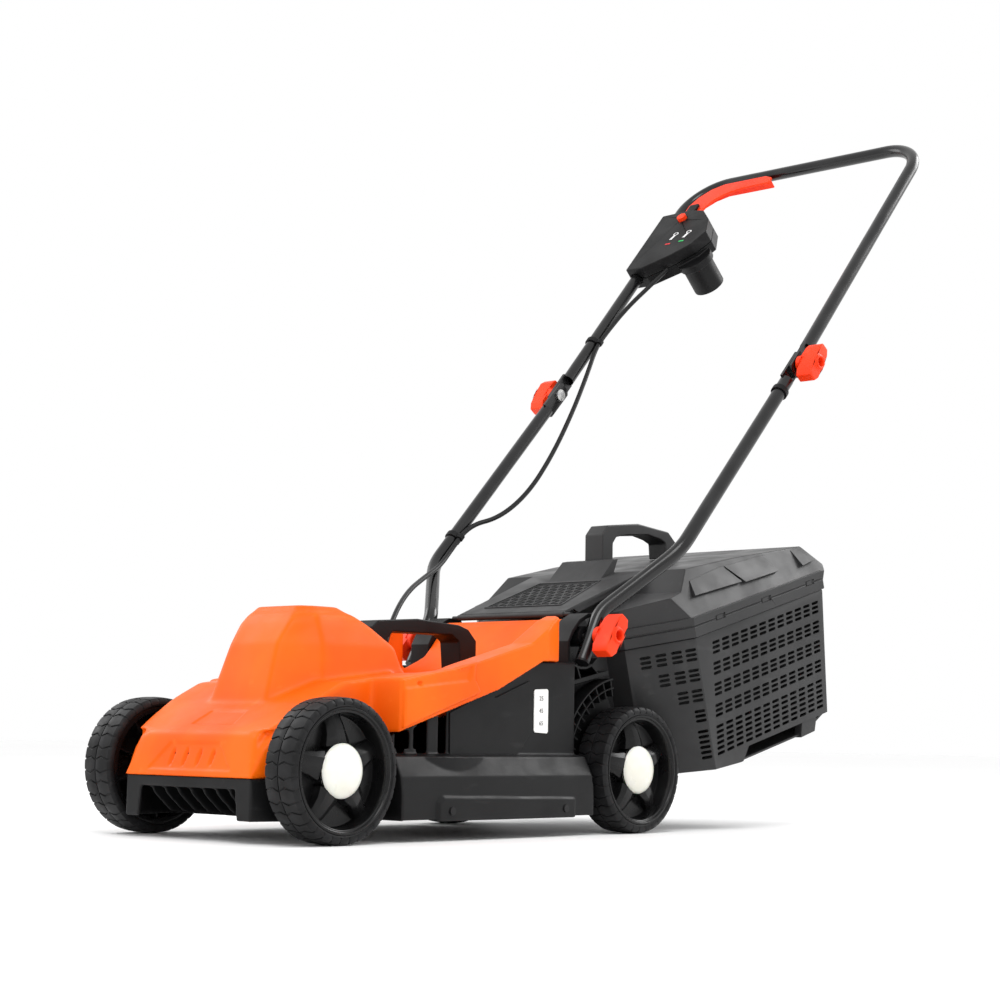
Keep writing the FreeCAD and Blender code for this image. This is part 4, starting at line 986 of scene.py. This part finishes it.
def build_grass_box():
    """Slotted base, with the flange, its clip windows, the feet and the facets of the lid as trim."""
    base = node_copy("box_base", "box_base_moulding")
    base = eased(base, 1.4, 3)
    for sign in SIDES.values():
        step = [(66, -204), (66, -184), (84, -167), (268, -171), (300, -171), (300, -204)]
        carved(base, placed(slab("step", step, "YZ", sign * 184, sign * 205), BOX))
        carved(base, box_slots(sign))
    shaded(base, 30)
    stood_in("box_base", base)

    rim = [(97, -138), (97, -74), (125, -66), (190, 2), (190, 319)]
    rim = rim + [(-x, y) for x, y in rim[::-1]]
    trims = []
    for low, high, out in ((0.6, 14.4, 2.2), (16.8, 27, 2.6)):
        strip = placed(band("trim", rim, low, high, out), BOX)
        for sign in SIDES.values():
            for first, last in CLIP_SPANS:
                window = [(first, 12.4), (last, 12.4), (last, 19.6), (first, 19.6)]
                carved(strip, placed(slab("window", window, "YZ", sign * 190.4, sign * 200), BOX))
        trims.append(strip)
    for sign in SIDES.values():
        for first, last in CLIP_SPANS:
            clip = [(first + 4, 12.8), (last - 6, 12.8), (last - 6, 18.8), (first + 4, 18.8)]
            trims.append(placed(slab("clip", clip, "YZ", sign * 188, sign * 191.2), BOX))
        foot = [(214, -190), (250, -190), (262, -168), (222, -168)]
        trims.append(placed(slab("foot", foot, "YZ", sign * 176, sign * 187.5), BOX))
        for quad in ([(28, 50), (40, 70), (121, 74), (137, 47)],
                     [(144, 45), (125, 73), (219, 70), (226, 44)],
                     [(284, 40), (284, 64), (297, 64), (318, 42)]):
            points = []
            for y, z in quad:
                skin = 190 - (z - 24) * 40 / 76
                low_edge = z < 55
                points.append((sign * (skin + (5.0 if low_edge else 0.6)), y, z + (1.5 if low_edge else 0)))
            points += [(sign * (190 - (z - 24) * 40 / 76 - 4), y, z - 1) for y, z in quad]
            faces = [[0, 1, 2, 3], [7, 6, 5, 4], [0, 1, 5, 4], [1, 2, 6, 5], [2, 3, 7, 6], [3, 0, 4, 7]]
            trims.append(placed(from_faces("facet", points, faces), BOX))
    trim = eased(joined("box_trim", trims), 0.5, 2)
    handed_over(trim, "grass_box", "dark_plastic")


def build_deck():
    """Deck with the tall gaps in each side, and the ladder of ribs over each rear wheel."""
    deck = node_copy("deck_shell", "deck_moulding")
    for sign in SIDES.values():
        for gap in ([(106, 99), (106, 127), (118, 131), (118, 99)],
                    [(138, 99), (138, 138), (155, 144), (155, 99)],
                    [(174, 99), (174, 150), (187, 155), (187, 99)]):
            carved(deck, moved_to_mower(slab("gap", gap, "YZ", sign * 140, sign * 160)))
    stood_in("deck_shell", voxelled(deck, 1.7, 3, 0.14))
    ribs = []
    for sign in SIDES.values():
        unit = slab("rib", [(94, -1.1), (116, -1.1), (116, 1.1), (94, 1.1)], "YZ", 112, 144)
        placed(unit, Matrix.Rotation(math.radians(101), 4, "X"))
        fan = repeated("ribs", unit, None, 9, turn=(math.radians(8), 0, 0))
        arcs = [fan]
        for inner, outer in ((103.6, 105.4), (114.6, 116.8)):
            angles = [math.radians(99 + 3 * k) for k in range(24)]
            ring = [(outer * math.cos(a), outer * math.sin(a)) for a in angles]
            ring += [(inner * math.cos(a), inner * math.sin(a)) for a in reversed(angles)]
            arcs.append(slab("arc", ring, "YZ", 112, 145))
        piece = placed(joined("fan", arcs), Matrix.Translation(at(0, 522, 80)))
        if sign < 0:
            placed(piece, Matrix.Diagonal((-1, 1, 1, 1)))
        ribs.append(piece)
    handed_over(eased(joined("fender_ribs", ribs), 0.4, 1), "root", "black_plastic",
                finish=FINISH["black_plastic"])


def clipped(point, way, corners):
    """Where a line crosses a convex outline: the two distances along it, or None."""
    low, high = -1e6, 1e6
    for a, b in zip(corners, corners[1:] + corners[:1]):
        edge = Vector(b) - Vector(a)
        inward = Vector((-edge.y, edge.x))
        start, rate = inward.dot(Vector(point) - Vector(a)), inward.dot(Vector(way))
        if abs(rate) < 1e-9:
            if start < 0:
                return None
        elif rate > 0:
            low = max(low, -start / rate)
        else:
            high = min(high, -start / rate)
    return (low, high) if high - low > 4 else None


def build_flap_lattice():
    """Triangles of thin ribs on the deflector flap."""
    slope = math.radians(21.6)
    flap = Matrix.Translation(at(0, 467, 277)) @ Matrix.Rotation(slope, 4, "X")
    field = [(-60, 34), (60, 34), (49, 126), (-49, 126)]
    bars = []
    for turn in (0, 60, 120):
        way = Vector((math.cos(math.radians(turn)), math.sin(math.radians(turn))))
        side = Vector((-way.y, way.x))
        for k in range(-9, 10):
            start = Vector((0, 80)) + side * (13 * k)
            ends = clipped(start, way, field)
            if ends:
                a, b = start + way * ends[0], start + way * ends[1]
                outline = [tuple(a - side * 0.7), tuple(b - side * 0.7), tuple(b + side * 0.7),
                           tuple(a + side * 0.7)]
                bars.append(slab("bar", outline, "XY", 2.4, 3.7))
    frame = [(-66, 28), (66, 28), (53, 132), (-53, 132)]
    for a, b in zip(frame, frame[1:] + frame[:1]):
        along = (Vector(b) - Vector(a)).normalized() * 1.2
        side = Vector((-along.y, along.x))
        outline = [tuple(Vector(a) - along - side), tuple(Vector(b) + along - side),
                   tuple(Vector(b) + along + side),
                   tuple(Vector(a) - along + side)]
        bars.append(slab("edge", outline, "XY", 3.4, 5.0))
    handed_over(placed(joined("flap_lattice", bars), flap), "discharge_flap", SLOT_OF["rear_flap"])


def build_side_panels():
    """Raised panels on the sides of the deck."""
    outline = [(192, 98), (191, 146), (262, 174), (270, 165), (332, 187), (334, 123), (311, 98)]
    plates = []
    for sign in SIDES.values():
        plates.append(moved_to_mower(slab("panel", outline, "YZ", sign * 149, sign * 151.8)))
    handed_over(eased(joined("deck_side_panels", plates), 0.6, 2), "root", "black_plastic")


def written(text, tall_mm, finish, matrix, name):
    """A generic number or sign, cut from thin sheet."""
    curve = bpy.data.curves.new(name, "FONT")
    curve.body = text
    curve.size = tall_mm * MM * 1.4
    curve.extrude = 0.00012
    curve.align_x = "CENTER"
    curve.align_y = "CENTER"
    curve.resolution_u = 3
    holder = linked(name, curve)
    bpy.context.view_layer.update()
    mesh = bpy.data.meshes.new_from_object(holder.evaluated_get(bpy.context.evaluated_depsgraph_get()))
    bpy.data.objects.remove(holder)
    mesh.materials.clear()
    mesh.materials.append(finish)
    return placed(linked(name, mesh), matrix)


def build_height_numbers():
    """Cutting heights on the plate of each side."""
    numbers = []
    for sign in SIDES.values():
        low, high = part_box("height_labels")
        face_x = high.x if sign > 0 else low.x
        upright = Matrix.Rotation(math.radians(90 * sign), 4, "Z") @ Matrix.Rotation(math.radians(90), 4,
                                                                                     "X")
        for text, z in (("25", 166), ("45", 151), ("65", 136)):
            spot = Vector((face_x + sign * 0.0001, (low.y + high.y) / 2, z * MM))
            numbers.append(written(text, 5.4, INK_BLACK, Matrix.Translation(spot) @ upright, "number"))
    handed_over(joined("height_numbers", numbers), "root", "label_white", finish=INK_BLACK)


SWITCH_LEAN = math.acos(-JOINTS["button_press"]["axis"][2])
SWITCH = Matrix.Translation(at(0, 1178, 1042)) @ Matrix.Rotation(SWITCH_LEAN, 4, "X")
PRINT_HEIGHT = 20.25


def build_switch_print():
    """A plug sign over each half of the switch, with a red and a green bar."""
    signs = []
    middle, steps = -162, 20
    for x, ink, flag, flag_at in ((-170, INK_WHITE, INK_RED, (-174, -188)),
                                  (-144, INK_WHITE, INK_GREEN, (-148, -186))):
        around = [math.pi * 2 * i / steps for i in range(steps)]
        ring = [(5 * math.cos(a), 4 * math.sin(a)) for a in around]
        points = [(x + px * share, middle + py * share, PRINT_HEIGHT) for share in (1, 0.66) for px,
                  py in ring]
        faces = [[i, (i + 1) % steps, steps + (i + 1) % steps, steps + i] for i in range(steps)]
        loop = from_faces("ring", points, faces)
        loop.data.materials.append(ink)
        arm = from_faces("arm", [(x - 7, -176, PRINT_HEIGHT), (x - 2, -177, PRINT_HEIGHT),
                                 (x + 2, -165, PRINT_HEIGHT), (x - 2, -164, PRINT_HEIGHT)],
                         [[0, 1, 2, 3]])
        arm.data.materials.append(ink)
        fx, fy = flag_at
        mark = from_faces("mark", [(fx - 5, fy - 1.4, PRINT_HEIGHT), (fx + 5, fy - 1.4, PRINT_HEIGHT),
                                   (fx + 5, fy + 1.4, PRINT_HEIGHT),
                                   (fx - 5, fy + 1.4, PRINT_HEIGHT)], [[0, 1, 2, 3]])
        mark.data.materials.append(flag)
        for part in (loop, arm, mark):
            thick = part.modifiers.new("sheet", "SOLIDIFY")
            thick.thickness = 0.00025
            thick.offset = 0
            signs.append(placed(settled(part), SWITCH))
    piece = joined("switch_print", signs)
    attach(piece, "upper_handle")


def finish_frame_nodes():
    """The other nodes keep their own meshes and take a better finish."""
    for node, piece in NODES.items():
        if piece.hide_render:
            continue
        for slot in piece.material_slots:
            slot.material = FINISH[SLOT_OF[node]]
        if not piece.material_slots:
            piece.data.materials.append(FINISH[SLOT_OF[node]])


set_up_camera()
set_up_studio()
build_cables()
build_wheels()
build_mouldings()
build_hood()
build_deck()
stood_in("deck_screws", node_copy("deck_screws", "deck_screw_heads"), finish=BLACKED_STEEL)
build_flap_lattice()
build_grass_box()
build_side_panels()
build_height_numbers()
build_switch_print()
finish_frame_nodes()
